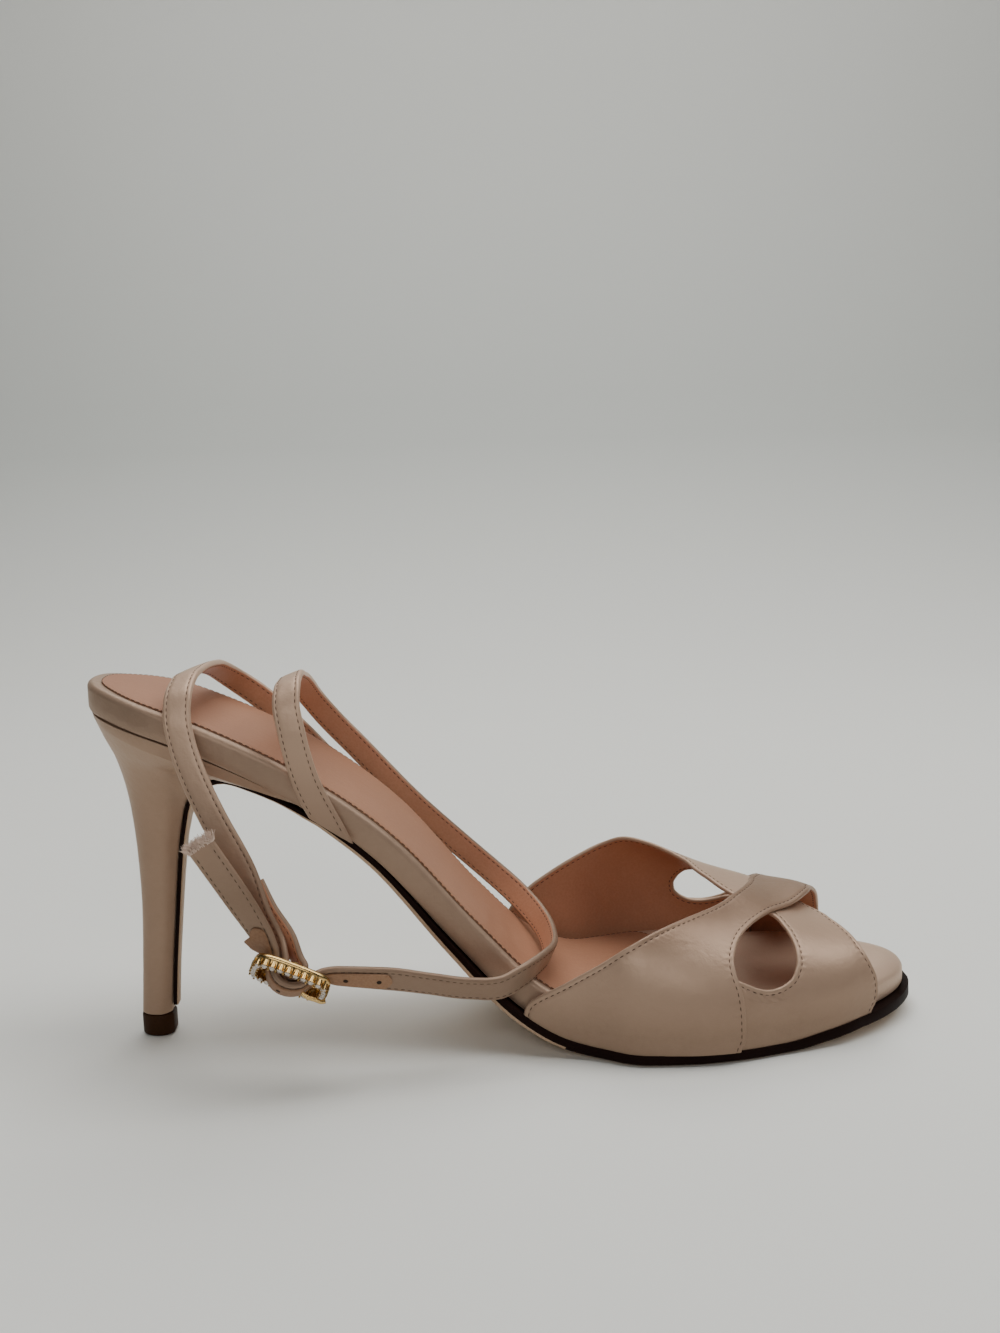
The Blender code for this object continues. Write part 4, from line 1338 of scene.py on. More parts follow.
    def shell(self) -> tuple[Array, Array]:
        """The band's closed wall: rounded edges, stitch grooves, puckers and gathers.

        Returns:
            Points as (rows, round, 3), and the material of each cell: 0 satin, 1 lining.
        """
        d, circle = self.from_edge, 2 * math.pi
        drop = edge_drop(d, self.wall / 2)
        seam = self.groove * hump(d, self.stitch_at, self.groove_half)
        wave = np.sin(circle * self.along / self.pucker_pitch) * hump(d, self.pucker_at, self.pucker_half)
        size = np.interp(np.linspace(-1.0, 1.0, self.rows), *columns(self.gathers))[:, None]
        fold = size * np.sin(circle * self.along / self.gather_pitch)
        fold = fold * ease(d, *self.gather_in) * (1 - ease(d, *self.gather_out))
        fold[:, len(d[0]) // 2:] = 0.0
        out = -drop - seam + self.pucker * wave * ease(d, *self.pucker_in) + fold
        inside = -self.wall + drop + self.lining_groove * seam
        top = self.outer + self.normals * out[..., None]
        low = self.outer + self.normals * inside[..., None]
        points = np.concatenate([top, low[:, -2:0:-1]], axis=1)
        turned = np.concatenate([np.zeros_like(d), (d > self.turned_edge)[:, -2:0:-1]], axis=1)
        points, turned = closed(points), np.concatenate([turned, turned[:, :1]], axis=1)
        slots = (turned[:-1, :-1] + turned[:-1, 1:]) > 0
        return points, slots.astype(float)

    def seam(self, front: bool, inside: bool) -> tuple[Array, Array]:
        """A line of stitches inside one edge, on the outer or the inner face.

        Args:
            front: Along the front edge, or else the rear.
            inside: On the lining, or else on the satin.

        Returns:
            Points and normals along the line.
        """
        at = self.edge_steps.index(self.stitch_at)
        column = -1 - at if front else at
        normals = self.normals[:, column] * (-1.0 if inside else 1.0)
        depth = self.wall - self.lining_groove * self.groove if inside else -self.groove
        return self.outer[:, column] + normals * depth, normals


@dataclass
class Upper:
    """Two crossing satin bands with their linings and seams, and the hole that they leave at each side."""

    last: LastForm
    finishes: Finishes
    step: float = 1.3
    rear_slope: float = 24.0
    front_slope: float = 14.0
    margin: float = 0.5
    front_lift: float = 3.4
    front_lift_x: Span = (177.0, 191.0)
    front_lift_t: Span = (0.02, 0.22)
    flap_drop: float = 1.25
    flap_x: Span = (158.5, 164.0)
    flap_t: Span = (-0.55, -0.68)
    hole_gathers: Rows = ((-0.86, 0), (-0.81, 0.18), (-0.72, 0.18), (-0.62, 0.0))
    over_rear: Rows = (
        (-1, -1, 111.0), (-0.97, -0.975, 112.4), (-0.93, -0.94, 115.4), (-0.87, -0.872, 122),
        (-0.79, -0.789, 129.5), (-0.68, -0.682, 137.0), (-0.58, -0.584, 143.9), (-0.44, -0.444, 153.7),
        (-0.32, -0.319, 161.9), (-0.20, -0.203, 168.0), (-0.04, -0.04, 174.2), (0.06, 0.06, 177.2),
        (0.16, 0.157, 178.9), (0.29, 0.29, 178.3), (0.38, 0.39, 177.2), (0.46, 0.48, 176.7),
        (0.53, 0.57, 175.9), (0.59, 0.64, 174.0), (0.64, 0.69, 171.0), (0.685, 0.722, 167.5),
        (0.73, 0.736, 164.0), (0.775, 0.748, 161.0), (0.82, 0.78, 158.6), (0.87, 0.835, 157.4),
        (1, 1, 156.8))
    over_front: Rows = (
        (-1, -1, 165.3), (-0.975, -0.982, 166.3), (-0.92, -0.92, 166.6), (-0.84, -0.836, 166.4),
        (-0.78, -0.77, 165.9), (-0.73, -0.72, 165.1), (-0.68, -0.675, 164.6), (-0.62, -0.62, 164.7),
        (-0.55, -0.549, 165.8), (-0.48, -0.48, 167.7), (-0.40, -0.40, 171.2), (-0.32, -0.32, 175.4),
        (-0.24, -0.24, 179.6), (-0.14, -0.14, 185.1), (-0.06, -0.06, 189.0), (0, 0, 191.9),
        (0.06, 0.06, 193.7), (0.12, 0.12, 195.0), (0.21, 0.21, 196.3), (0.40, 0.40, 197.8),
        (0.55, 0.58, 198.7), (0.62, 0.70, 199.2), (0.68, 0.80, 199.5), (0.73, 0.87, 199.6),
        (0.82, 0.94, 199.5), (1, 1, 199))
    under_rear: Rows = (
        (-1, -1, 157.5), (-0.95, -0.9, 157.6), (-0.915, -0.82, 158.2), (-0.885, -0.755, 160.0),
        (-0.855, -0.718, 162.6), (-0.825, -0.72, 165.2), (-0.795, -0.738, 167.8), (-0.768, -0.76, 170.5),
        (-0.74, -0.771, 173.2), (-0.71, -0.76, 176.3), (-0.675, -0.72, 179.3), (-0.63, -0.645, 181.1),
        (-0.56, -0.556, 181.7), (-0.46, -0.45, 181.4), (-0.36, -0.345, 180.0), (-0.28, -0.27, 177.8),
        (-0.22, -0.215, 173.2), (-0.16, -0.165, 168.6), (-0.11, -0.115, 165.4), (-0.06, -0.07, 163.3),
        (0, -0.03, 160.8), (0.06, 0.03, 158.0), (0.13, 0.12, 152.5), (0.25, 0.25, 145), (0.45, 0.45, 137),
        (0.58, 0.58, 130), (0.70, 0.70, 122), (0.80, 0.80, 115.2), (0.92, 0.92, 109), (1, 1, 106))
    under_front: Rows = (
        (-1, -1, 202.3), (-0.9, -0.975, 203.6), (-0.82, -0.94, 204.2), (-0.745, -0.885, 204.3),
        (-0.68, -0.80, 204.0), (-0.60, -0.67, 202.6), (-0.473, -0.49, 200.6), (-0.292, -0.292, 198.1),
        (-0.151, -0.151, 195.4), (-0.05, -0.05, 192.7), (0, 0, 189.2), (0.10, 0.09, 182.5),
        (0.20, 0.18, 177.0), (0.29, 0.27, 171.6), (0.36, 0.355, 166.0), (0.43, 0.431, 162.3),
        (0.51, 0.51, 160.3), (0.575, 0.575, 159.2), (0.64, 0.64, 158.6), (0.68, 0.69, 159.3),
        (0.71, 0.716, 161.4), (0.74, 0.724, 164.4), (0.77, 0.708, 168.0), (0.80, 0.676, 171.4),
        (0.825, 0.642, 174.2), (0.85, 0.645, 177.2), (0.885, 0.72, 179.8), (0.94, 0.86, 181.0),
        (1, 1, 181.5))
    lap_rear: Rows = (
        (-1, 164.5), (-0.82, 164.8), (-0.75, 166.5), (-0.66, 171), (-0.60, 174), (-0.45, 178), (-0.30, 179),
        (-0.20, 172), (-0.15, 167.6), (-0.07, 163.4), (-0.03, 160.8), (0.06, 156.5), (0.12, 152),
        (0.25, 145), (0.45, 137), (1, 106))
    lap_front: Rows = (
        (-1, 202.8), (-0.61, 201.6), (-0.21, 195.5), (-0.07, 191.5), (0, 187.5), (0.10, 182), (0.28, 172),
        (0.45, 167), (0.60, 164), (0.64, 172), (0.70, 179), (0.80, 181), (1, 182.5))

    def __post_init__(self) -> None:
        """Makes the curves of the lap, and the two bands."""
        self.rear_at, self.front_at = Curve(*columns(self.lap_rear)), Curve(*columns(self.lap_front))
        self.under = Band("band_under", self.last, self.under_rear, self.under_front, self.under_lift,
                          gathers=self.hole_gathers)
        self.over = Band("band_over", self.last, self.over_rear, self.over_front, self.over_lift)

    def under_lift(self, x: Array, t: Array) -> Array:
        """How the under band's hidden end dips below the over band."""
        start, end = self.flap_t
        return -self.flap_drop * (1 - ease(x, *self.flap_x)) * ease(-t, -start, -end)

    def over_lift(self, x: Array, t: Array) -> Array:
        """How far the over band stands off the last: on the under band, and more at its free front edge.

        Args:
            x: Places along the shoe.
            t: Places round the section.

        Returns:
            One height for each place.
        """
        rear, front = self.rear_at(t) - self.margin, self.front_at(t) + self.margin
        start = np.clip((x - rear + self.rear_slope) / self.rear_slope, 0.0, 1.0)
        end = np.clip((front + self.front_slope - x) / self.front_slope, 0.0, 1.0)
        covered = start * start * (3 - 2 * start) * end * end * (3 - 2 * end)
        middle, spread = self.front_lift_t
        free = ease(x, *self.front_lift_x) * hump(t, middle, spread)
        return self.step * covered + self.front_lift * free

    def build(self) -> None:
        """Makes and dresses the bands and their stitches."""
        sewing = Stitching()
        under, over = (self.under, self.finishes.under, ["upper"]), (self.over, self.finishes.over, [])
        for band, finish, nodes in (under, over):
            band.lay()
            wall = cap(skin(*band.shell()))
            add_piece(band.name, wall, [finish, self.finishes.lining], nodes)
            for front in (False, True):
                for inside in (False, True):
                    sewing.sew(*band.seam(front, inside))
        sewing.finish("upper_stitches", self.finishes.thread, Slot.SATIN)


@dataclass
class BuckleAxes:
    """The buckle's own axes: along the strap, across it and outwards."""

    middle: Sequence[float] = (54.2, -43.2, 29.3)
    along: Sequence[float] = (0.916, 0.0, -0.402)
    across: Sequence[float] = (0.257, -0.766, 0.586)

    def __post_init__(self) -> None:
        """Works out the unit axes."""
        self.a = unit(np.array(self.along))
        self.b = unit(np.array(self.across))
        self.c = unit(np.cross(self.a, self.b))

    def at(self, along: Any, across: Any, out: Any) -> Array:
        """Points in the shoe's axes."""
        parts = zip(np.broadcast_arrays(along, across, out), (self.a, self.b, self.c))
        return np.array(self.middle) + sum(part[..., None] * axis for part, axis in parts)

    def turn(self) -> Matrix:
        """The axes as a rotation."""
        return axes_turn(self.a, self.b, self.c)


@dataclass
class Ribbon:
    """A flat strap: its stations and its rounded, stitched section."""

    rows: Sequence[tuple[Array, Array]]
    slant: float
    fade: float
    face: int = 1
    width: float = 7.0
    thick: float = 1.7
    steps: int = 14
    edge_steps: Sequence[float] = (0.0, 0.07, 0.2, 0.38, 0.6, 0.85, 1.1, 1.35, 1.7, 2.3, 3.5)
    stitch_at: float = 1.1
    groove: float = 0.12
    groove_half: float = 0.3
    lining_groove: float = 0.6
    thread_sunk: float = 0.3
    crown: float = 0.12
    turned_edge: float = 0.5

    def __post_init__(self) -> None:
        """Works out middle points, directions across and outward normals at every station."""
        points = np.array([point for point, _ in self.rows])
        across = unit(np.array([direction for _, direction in self.rows], float))
        self.knots = run_length(points)
        spans = zip(self.knots, self.knots[1:])
        steps = [np.linspace(start, end, self.steps, endpoint=False) for start, end in spans]
        self.s = np.concatenate([*steps, self.knots[-1:]])
        self.middles = np.column_stack([Curve(self.knots, line, Slope.FREE)(self.s) for line in points.T])
        wide = np.column_stack([Curve(self.knots, line)(self.s) for line in across.T])
        ahead = unit(np.gradient(self.middles, self.s, axis=0))
        wide = unit(wide - ahead * (wide * ahead).sum(1, keepdims=True))
        self.ahead, self.out = ahead, self.face * unit(np.cross(wide, ahead))
        lean = self.slant * (1 - ease(self.s, 0.0, self.fade))
        self.wide = wide + ahead * lean[:, None]

    def point(self, station: Any, side: Any, rise: Any) -> Array:
        """Points at stations, at a distance across and a height over the middle line."""
        beside = self.middles[station] + self.wide[station] * side[..., None]
        return beside + self.out[station] * rise[..., None]

    def shell(self, ragged: Callable[[Array, Array], Array] | None = None) -> tuple[Array, Array]:
        """The strap's closed wall and the material of its cells: 0 satin, 1 lining.

        Args:
            ragged: Shift along the strap by (length along it, distance across), for a torn end.

        Returns:
            Points as (stations, round, 3), and slots.
        """
        r, half = self.thick / 2, self.width / 2
        near, far = np.array(self.edge_steps), np.array(self.edge_steps[-2::-1])
        d, side = np.concatenate([near, far]), np.concatenate([near - half, half - far])
        drop = edge_drop(d, r)
        seam = self.groove * hump(d, self.stitch_at, self.groove_half)
        crown = self.crown * (1 - (side / half) ** 2)
        rise = np.concatenate([r - drop - seam + crown, (drop - r + self.lining_groove * seam)[-2:0:-1]])
        sides = np.concatenate([side, side[-2:0:-1]])
        count = len(self.s)
        stations = np.arange(count)[:, None]
        points = self.point(stations, np.tile(sides, (count, 1)), np.tile(rise, (count, 1)))
        if ragged is not None:
            points = points + self.ahead[:, None] * ragged(self.s[:, None], sides[None])[..., None]
        turned = np.concatenate([np.zeros_like(d), (d > self.turned_edge)[-2:0:-1]])
        turned = np.concatenate([turned, turned[:1]])
        slots = np.tile((turned[:-1] + turned[1:]) > 0, (count - 1, 1)).astype(float)
        return closed(points), slots

    def seam(self, side: int, inside: bool, start: float, end: float) -> tuple[Array, Array]:
        """A line of stitches near one edge.

        Args:
            side: -1 or 1 across the strap.
            inside: On the lining, or else on the satin.
            start: Length along the strap where it begins.
            end: Length along the strap where it ends.

        Returns:
            Points and normals along the line.
        """
        stations = np.flatnonzero((self.s >= start) & (self.s <= end))
        across = np.full(len(stations), side * (self.width / 2 - self.stitch_at))
        sign, sunk = (-1.0, self.lining_groove) if inside else (1.0, self.thread_sunk)
        rise = np.full(len(stations), sign * (self.thick / 2 - self.groove * sunk))
        return self.point(stations, across, rise), sign * self.out[stations]


@dataclass
class Straps:
    """The long and the short ankle strap, the leather patch with the holes, and the frayed free end."""

    axes: BuckleAxes
    finishes: Finishes
    long_root: Rows = (
        (64.0, -25.6, 61.0, 0.917, 0, 0.4), (58.4, -26.3, 74.0, 0.917, 0, 0.4),
        (55.3, -26.4, 87.6, 0.98, 0, 0.2), (54.3, -24.8, 93.2, 1, 0, 0.1),
        (54.4, -21.2, 97.2, 0.97, -0.1, 0.2), (54.4, -14, 98.3, 0.9, -0.25, 0.35),
        (53.9, 0, 96.3, 0.87, -0.3, 0.38), (54.2, 13, 92.8, 0.85, -0.3, 0.42),
        (56.0, 22.5, 86.8, 0.8, -0.15, 0.55), (60.5, 26.8, 79.8, 0.754, 0, 0.657),
        (67.0, 27.4, 72.4, 0.754, 0, 0.657), (82.2, 27.6, 55.2, 0.74, 0, 0.67),
        (96.6, 27.4, 41.2, 0.689, 0, 0.725), (104.6, 26.2, 34.0, 0.689, 0, 0.725),
        (110.8, 22.6, 28.9, 0.64, 0.1, 0.75), (115.6, 16.6, 24.9, 0.55, 0.15, 0.82),
        (118.4, 8.5, 22.9, 0.47, 0.08, 0.88), (119.5, -2, 22.0, 0.45, 0, 0.89),
        (118.9, -13, 22.4, 0.42, -0.08, 0.9), (116.2, -22.5, 23.3, 0.35, -0.15, 0.92),
        (111.4, -30, 22.6, 0.1, -0.25, 0.96), (105.7, -33.3, 20.9, 0, -0.35, 0.94),
        (97.7, -35.2, 21.6, 0, -0.45, 0.89), (87.4, -37.6, 24.2, 0.03, -0.46, 0.88),
        (78.6, -39.5, 26.4, 0.05, -0.4, 0.91), (72.3, -40.4, 27.4, 0.1, -0.46, 0.88),
        (65.6, -40.7, 28.2, 0.16, -0.56, 0.8))
    long_through: Rows = (
        (7.3, -3.5), (4.7, -0.8), (2.6, 2.0), (0.0, 2.95), (-2.6, 2.5), (-4.4, 0.6), (-5.1, -2.0))
    long_tail: Rows = (
        (48.6, -41.9, 37.6, 0.5, -0.6, 0.6), (46.4, -42.6, 42.4, 0.72, -0.4, 0.52),
        (42.6, -43.6, 49.6, 0.86, -0.15, 0.48), (34.4, -44, 63.3, 0.877, 0, 0.48))
    short_root: Rows = (
        (63.5, 25.6, 62.8, 0.678, 0, 0.735), (50.0, 26.4, 78.2, 0.678, 0, 0.735),
        (40.3, 27.0, 87.6, 0.69, 0, 0.72), (33.6, 25.6, 93.0, 0.75, -0.1, 0.63),
        (30.6, 18, 97.0, 0.84, -0.25, 0.45), (29.6, 6, 99.3, 0.88, -0.28, 0.36),
        (28.6, -8, 100.1, 0.92, -0.25, 0.28), (28.0, -17.5, 99.5, 0.96, -0.2, 0.15),
        (27.4, -23.0, 96.6, 0.98, -0.1, 0.05), (27.3, -26.2, 91.2, 0.99, 0, 0.0),
        (28.6, -27.9, 84.5, 0.96, 0, 0.25), (32.3, -31, 74.7, 0.92, 0, 0.38),
        (35.8, -33, 67.5, 0.9, 0, 0.43), (42.7, -36.0, 54.5, 0.87, 0, 0.48),
        (47.2, -38.4, 43.0, 0.76, -0.36, 0.52), (50.2, -39.1, 37.0, 0.66, -0.46, 0.57))
    short_loop: Rows = (
        (-2.8, -3.2), (-1.7, -0.5), (0.0, 0.7), (1.5, 0.15), (2.5, -1.4), (2.3, -2.9), (0.9, -4.2))
    short_return: Rows = (
        (52.4, -38.3, 38.2, 0.68, -0.46, 0.57), (48.4, -36.8, 43.8, 0.76, -0.36, 0.52),
        (44.8, -34.9, 50.2, 0.82, -0.1, 0.5))
    long_slant: Span = (-1.6, 14.0)
    short_slant: Span = (-2.6, 24.0)
    teeth: Rows = ((0.5, 2.9, 0.0), (0.4, 6.7, 1.0), (0.3, 13.0, 2.0))
    torn_length: float = 2.5
    stitch_thick: float = 0.27
    stitch_start: float = 2.0
    stitch_margins: Span = (1.5, 3.0)
    patch_rows: tuple[int, int] = (24, 35)
    patch_width: float = 4.6
    patch_thick: float = 0.5
    patch_gap: float = 0.12
    patch_flare: float = 1.3
    flare_in: Span = (1.8, 3.2)
    flare_out: Span = (5.5, 9.0)
    patch_least: float = 0.02
    patch_top: Rows = (
        (-1.0, -0.2), (-0.95, -0.05), (-0.8, 0.0), (0.0, 0.03), (0.8, 0.0), (0.95, -0.05), (1.0, -0.2))
    holes: Sequence[float] = (0.07, 0.24, 0.62, 0.80)
    hole_radius: float = 0.62
    hole_taper: float = 0.85
    hole_depth: float = 0.1
    hole_rise: float = 0.02
    hole_sides: int = 20
    fray_seed: int = 11
    fray_count: int = 560
    fray_root: float = 0.8
    fray_spread: float = 0.5
    fray_length: float = 2.7
    fray_play: Span = (0.45, 1.25)
    fray_radii: Span = (0.18, 0.04)
    fray_sides: int = 5

    @staticmethod
    def _rows(table: Rows) -> list[tuple[Array, Array]]:
        """A table in the shoe's axes as pairs of middle point and direction across."""
        return [(np.array(row[:3], float), np.array(row[3:], float)) for row in table]

    def _through(self, table: Rows) -> list[tuple[Array, Array]]:
        """A table in the buckle's axes as pairs of middle point and direction across."""
        return [(self.axes.at(along, 0.0, out), self.axes.b) for along, out in table]

    def build(self) -> None:
        """Makes and dresses the straps, the patch, the frayed end and the stitches."""
        rows = self._rows(self.long_root) + self._through(self.long_through) + self._rows(self.long_tail)
        self.long = Ribbon(rows, *self.long_slant)
        rows = self._rows(self.short_root) + self._through(self.short_loop) + self._rows(self.short_return)
        self.short = Ribbon(rows, *self.short_slant, face=-1)
        finishes = [self.finishes.strap, self.finishes.lining]
        wall = cap(skin(*self.long.shell(self._torn)))
        add_piece("strap_long_satin", wall, finishes, ["strap_long"])
        wall = cap(skin(*self.short.shell()))
        add_piece("strap_short_satin", wall, finishes, ["strap_short"])
        self._stitch()
        self._patch()
        self._fray()

    def _torn(self, s: Array, side: Array) -> Array:
        """Ragged shift of the long strap's free end."""
        teeth = sum(size * np.sin(side * pace + start) for size, pace, start in self.teeth)
        return teeth * ease(s, self.long.s[-1] - self.torn_length, self.long.s[-1])

    def _stitch(self) -> None:
        """Sews both edges of both straps, on the satin and on the lining."""
        sewing = Stitching(thick=self.stitch_thick)
        for strap, margin in zip((self.long, self.short), self.stitch_margins):
            for side in (-1, 1):
                for inside in (False, True):
                    sewing.sew(*strap.seam(side, inside, self.stitch_start, strap.s[-1] - margin))
        sewing.finish("strap_stitches", self.finishes.thread, Slot.SATIN)

    def _patch(self) -> None:
        """Makes the brown patch on the long strap, with round ends, and the holes as dark discs of painted
        shade.
        """
        strap = self.long
        start, end = (strap.knots[row] for row in self.patch_rows)
        stations = np.flatnonzero((strap.s >= start) & (strap.s <= end))
        s, half = strap.s[stations], self.patch_width / 2
        to_end = np.minimum(s - s[0], s[-1] - s)
        rounding = np.clip(1 - np.clip(1 - to_end / half, 0.0, 1.0) ** 2, self.patch_least, 1.0)
        reach = half * np.sqrt(rounding)
        low = strap.thick / 2 + self.patch_gap
        high = low + self.patch_thick
        top = [(share, high + rise) for share, rise in self.patch_top]
        left = s[-1] - s
        flare = 1 + self.patch_flare * ease(left, *self.flare_in) * (1 - ease(left, *self.flare_out))
        ring = []
        for share, rise in ((-1.0, low), *top, (1.0, low), (0.0, low)):
            side = reach * share * (flare if share < 0 else 1.0)
            ring.append(strap.point(stations, side, np.full(len(s), rise)))
        leather = tube(np.stack(ring, axis=1))
        add_piece("hole_patch_leather", leather, [self.finishes.patch], ["hole_patch"])
        # The holes are thin near-black discs on the patch, not openings: painted shade.
        bm = bmesh.new()
        radii = (self.hole_radius, self.hole_radius * self.hole_taper)
        for share in self.holes:
            i = int(np.searchsorted(strap.s, start + share * (end - start)))
            spot = strap.middles[i] + strap.out[i] * (high + self.hole_rise)
            turn = axes_turn(strap.ahead[i], strap.wide[i], -strap.out[i])
            stub(bm, spot, turn, radii, self.hole_depth, self.hole_sides)
        add_piece("patch_hole_shade_discs", bm, [self.finishes.hole])

    def _fray(self) -> None:
        """Makes the loose fibres at the long strap's cut end."""
        draw = random.Random(self.fray_seed)
        bm = bmesh.new()
        strap = self.long
        middle, wide, out, ahead = strap.middles[-1], strap.wide[-1], strap.out[-1], strap.ahead[-1]
        half_width, half_thick = strap.width / 2, strap.thick / 2
        for _ in range(self.fray_count):
            side, rise = draw.uniform(-half_width, half_width), draw.uniform(-half_thick, half_thick)
            root = middle + wide * side + out * rise - ahead * self.fray_root
            lean = wide * draw.gauss(0.0, self.fray_spread) + out * draw.gauss(0.0, self.fray_spread)
            way = Vector(unit(ahead + lean))
            length = self.fray_length * draw.uniform(*self.fray_play)
            turn = way.to_track_quat("Z", "Y").to_matrix().to_4x4()
            stub(bm, Vector(root) + way * length / 2, turn, self.fray_radii, length, self.fray_sides)
        add_piece("strap_fray", bm, [self.finishes.fray])


@dataclass
class Buckle:
    """The gold frame with its row of stone settings, its bar and its prong."""

    axes: BuckleAxes
    finishes: Finishes
    half_length: float = 8.9
    half_width: float = 5.6
    power: float = 4.0
    points: int = 144
    samples: int = 721
    rim: Rows = (
        (0.0, -1.6), (0.55, -1.5), (0.85, -1.15), (0.95, -0.7), (0.85, -0.3), (0.6, 0.0), (0.55, 0.9),
        (0.0, 1.0), (-0.55, 0.9), (-0.6, 0.0), (-0.85, -0.3), (-0.95, -0.7), (-0.85, -1.15), (-0.55, -1.5))
    settings: int = 26
    cup_radii: Span = (0.736, 0.966)
    cup_depth: float = 1.55
    cup_out: float = 0.675
    cup_sides: int = 14
    claw_side: float = 0.78
    claw_radii: Span = (0.30, 0.26)
    claw_depth: float = 2.3
    claw_out: float = 0.85
    claw_sides: int = 8
    stone_levels: Rows = ((1.2, 0.79), (1.55, 0.83), (2.0, 0.46))
    stone_sides: int = 8
    prong_route: Rows = ((3.6, 1.9), (4.4, 2.9), (5.4, 3.25), (7.6, 3.2), (9.3, 3.1), (10.0, 2.7))
    prong_radius: float = 0.55
    prong_steps: int = 40
    bar_radius: float = 0.75
    bar_out: float = -1.3
    bar_steps: int = 9

    def oval(self, count: int) -> tuple[Array, Array, Array, Array]:
        """The frame's oval at even steps.

        Args:
            count: How many steps.

        Returns:
            Places along and across, and the outward direction along and across.
        """
        turns = np.linspace(0.0, 2 * math.pi, self.samples)
        c, s = np.cos(turns), np.sin(turns)
        line = np.column_stack([self.half_length * np.sign(c) * np.abs(c) ** (2 / self.power),
                                self.half_width * np.sign(s) * np.abs(s) ** (2 / self.power)])
        along = run_length(line)
        even = np.linspace(0.0, along[-1], count, endpoint=False)
        a, b = np.interp(even, along, line[:, 0]), np.interp(even, along, line[:, 1])
        da, db = np.roll(a, -1) - np.roll(a, 1), np.roll(b, -1) - np.roll(b, 1)
        size = np.hypot(da, db)
        return a, b, db / size, -da / size

    def build(self) -> None:
        """Makes and dresses the frame, the settings, the stones and the prong."""
        a, b, na, nb = self.oval(self.points)
        lines = [self.axes.at(a + na * side, b + nb * side, out) for side, out in self.rim]
        rings = np.stack(lines, axis=1)
        rings = closed(np.concatenate([rings, rings[:1]]))
        add_piece("buckle_rim", skin(rings), [self.finishes.gold], ["buckle_frame"])
        across = np.linspace(-self.half_width, self.half_width, self.bar_steps)
        bar = self.axes.at(0.0, across, self.bar_out)
        add_piece("buckle_bar", wire(bar, self.bar_radius), [self.finishes.gold])
        route = np.array(self.prong_route, float)
        s = run_length(route)
        fine = np.linspace(0.0, s[-1], self.prong_steps)
        along, out = (Curve(s, line, Slope.FREE)(fine) for line in route.T)
        pin = wire(self.axes.at(along, 0.0, out), self.prong_radius)
        add_piece("buckle_pin", pin, [self.finishes.gold], ["buckle_prong"])
        self._settings()

    def _settings(self) -> None:
        """Makes the cups with claws between them, and a cut stone in each cup."""
        cups, stones = bmesh.new(), bmesh.new()
        turn = self.axes.turn()
        a, b, na, nb = self.oval(2 * self.settings)
        angles = np.linspace(0.0, 2 * math.pi, self.stone_sides, endpoint=False)
        for i in range(2 * self.settings):
            if i % 2 == 0:
                spot = self.axes.at(a[i], b[i], self.cup_out)
                stub(cups, spot, turn, self.cup_radii, self.cup_depth, self.cup_sides)
                levels = [self.axes.at(a[i] + size * np.cos(angles), b[i] + size * np.sin(angles), out)
                          for out, size in self.stone_levels]
                gather(stones, tube(levels))
                continue
            for side in (-self.claw_side, self.claw_side):
                spot = self.axes.at(a[i] + na[i] * side, b[i] + nb[i] * side, self.claw_out)
                stub(cups, spot, turn, self.claw_radii, self.claw_depth, self.claw_sides)
        add_piece("buckle_settings", cups, [self.finishes.gold])
        add_piece("buckle_stones", stones, [self.finishes.stone])


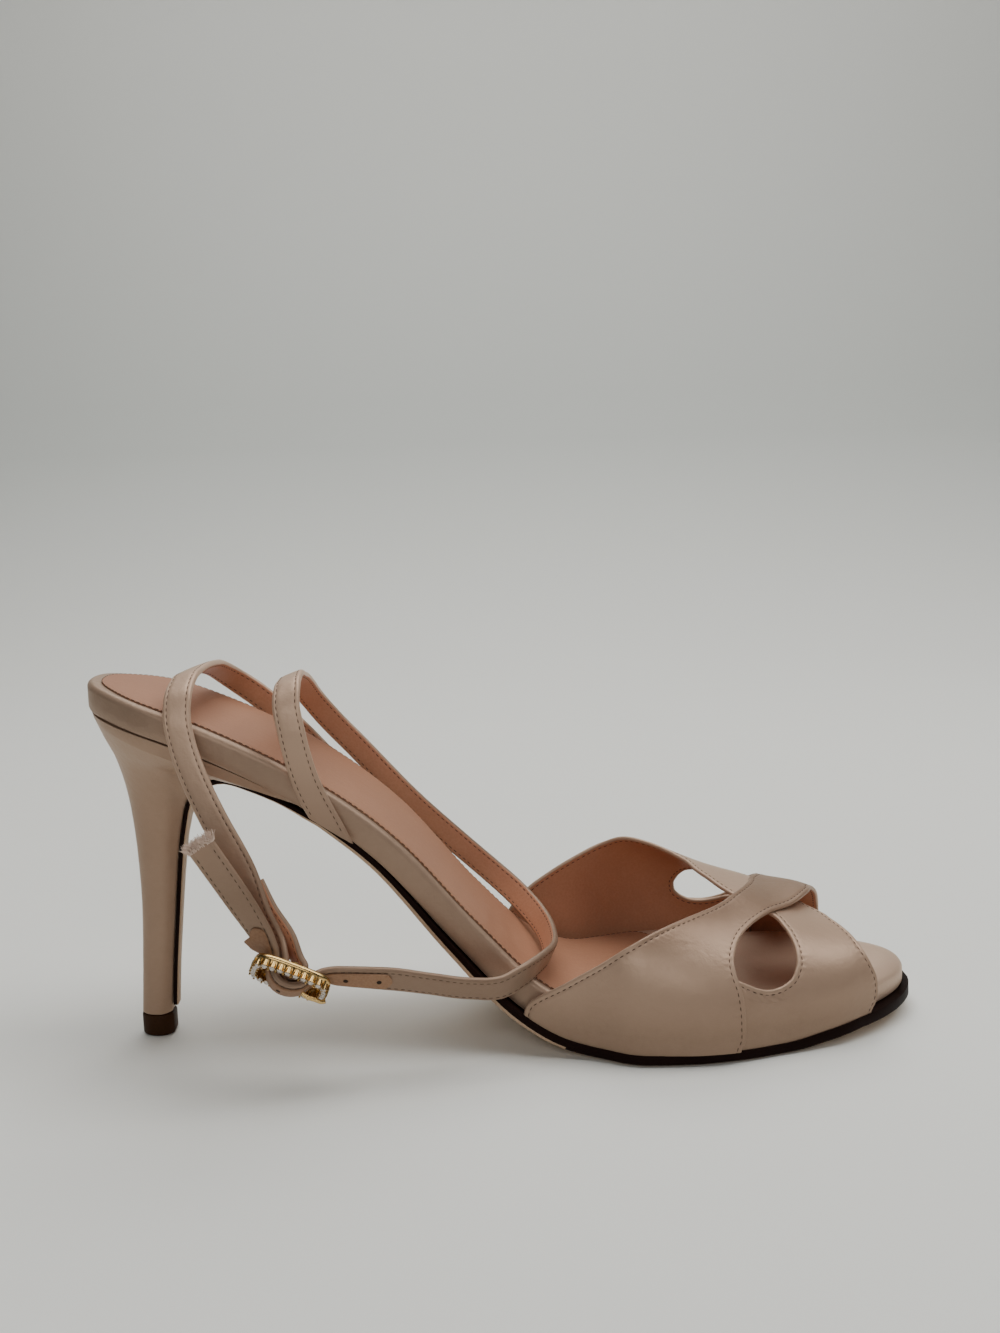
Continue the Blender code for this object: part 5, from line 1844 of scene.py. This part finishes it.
@dataclass
class Studio:
    """Pale paper sweep, soft lights and a camera at the photograph's angle."""

    spot: Sequence[float] = (101.228, -394.675, 155.496)
    yaw: float = -0.0184
    pitch: float = 0.146
    roll: float = -0.0327
    lens: float = 40.5
    sensor: float = 36.0
    near_clip: float = 0.01
    panels: Sequence[tuple[str, Triple, Span, float]] = (
        ("overhead_panel", (0.0, 0.1, 1.15), (0.8, 0.8), 7.5),
        ("front_panel", (-0.05, -1.0, 0.58), (0.7, 0.45), 2.3),
        ("back_panel", (0.0, 0.74, 0.88), (0.8, 0.5), 3.3),
        ("toe_panel", (0.66, 0.0, 0.94), (0.6, 0.6), 4.4))
    aim: Triple = (0.0, 0.0, 0.0)
    panel_tint: Colour = (1.0, 0.99, 0.96)
    room_tint: Colour = (0.95, 0.98, 1.0)
    room_strength: float = 0.05
    sweep_front: float = -2.5
    sweep_start: float = 0.55
    sweep_radius: float = 0.5
    sweep_top: float = 2.5
    sweep_half: float = 3.0
    sweep_steps: int = 24
    sweep_columns: int = 9

    def camera(self) -> None:
        """The camera, turned as the photograph's was."""
        forward = Vector((-math.sin(self.yaw), math.cos(self.yaw), 0.0))
        right = Vector((math.cos(self.yaw), math.sin(self.yaw), 0.0))
        up = Vector((0.0, 0.0, 1.0))
        look = math.cos(self.pitch) * forward - math.sin(self.pitch) * up
        above = math.sin(self.pitch) * forward + math.cos(self.pitch) * up
        across = math.cos(self.roll) * right + math.sin(self.roll) * above
        above = -math.sin(self.roll) * right + math.cos(self.roll) * above
        data = bpy.data.cameras.new("photo_camera")
        data.lens, data.sensor_width, data.clip_start = self.lens, self.sensor, self.near_clip
        camera = link("photo_camera", data)
        spot = Matrix.Translation((Vector(self.spot) + SHIFT) * MM)
        camera.matrix_world = spot @ axes_turn(across, above, -look)
        bpy.context.scene.camera = camera

    def light(self, name: str, spot: Triple, size: Span, power: float) -> None:
        """Hangs one soft panel of light.

        Args:
            name: Its name.
            spot: Where it hangs, in metres.
            size: Its width and height.
            power: Watts.
        """
        data = bpy.data.lights.new(name, "AREA")
        data.shape, data.size, data.size_y = "RECTANGLE", size[0], size[1]
        data.energy, data.color = power, self.panel_tint
        lamp = link(name, data)
        lamp.location = spot
        lamp.rotation_euler = (Vector(self.aim) - Vector(spot)).to_track_quat("-Z", "Y").to_euler()

    def floor(self) -> None:
        """Makes the paper sweep: a floor that curves up into a wall behind the shoe."""
        turns = np.linspace(0.0, math.pi / 2, self.sweep_steps)
        bend_y = self.sweep_start + self.sweep_radius * np.sin(turns)
        bend_z = self.sweep_radius * (1 - np.cos(turns))
        line = np.column_stack([np.concatenate([[self.sweep_front], bend_y, bend_y[-1:]]),
                                np.concatenate([[0.0], bend_z, [self.sweep_top]])])
        across = np.linspace(-self.sweep_half, self.sweep_half, self.sweep_columns)
        points = np.stack([np.column_stack([np.full(len(line), x), line]) for x in across], axis=1)
        sweep = shaped("paper_sweep", skin(points), [FloorFinish().material()])

    def build(self) -> None:
        """Makes the camera, the paper, the lights and the room's own light."""
        self.camera()
        self.floor()
        for panel in self.panels:
            self.light(*panel)
        world = bpy.data.worlds.new("room")
        world.use_nodes = True
        shade = world.node_tree.nodes["Background"]
        shade.inputs["Color"].default_value = (*self.room_tint, 1.0)
        shade.inputs["Strength"].default_value = self.room_strength
        bpy.context.scene.world = world


def main() -> None:
    """Builds the studio, then every sub-assembly of the shoe."""
    logging.basicConfig(level=logging.INFO, format="%(name)s %(message)s")
    Studio().build()
    finishes = Finishes()
    form = SoleForm()
    heel = Heel(form, finishes)
    axes = BuckleAxes()
    for assembly in (Footbed(form, finishes), heel, Outsole(form, heel, finishes),
                     Upper(LastForm(form), finishes), Straps(axes, finishes), Buckle(axes, finishes)):
        LOG.info("building %s", type(assembly).__name__)
        assembly.build()


if __name__ == "__main__":
    main()
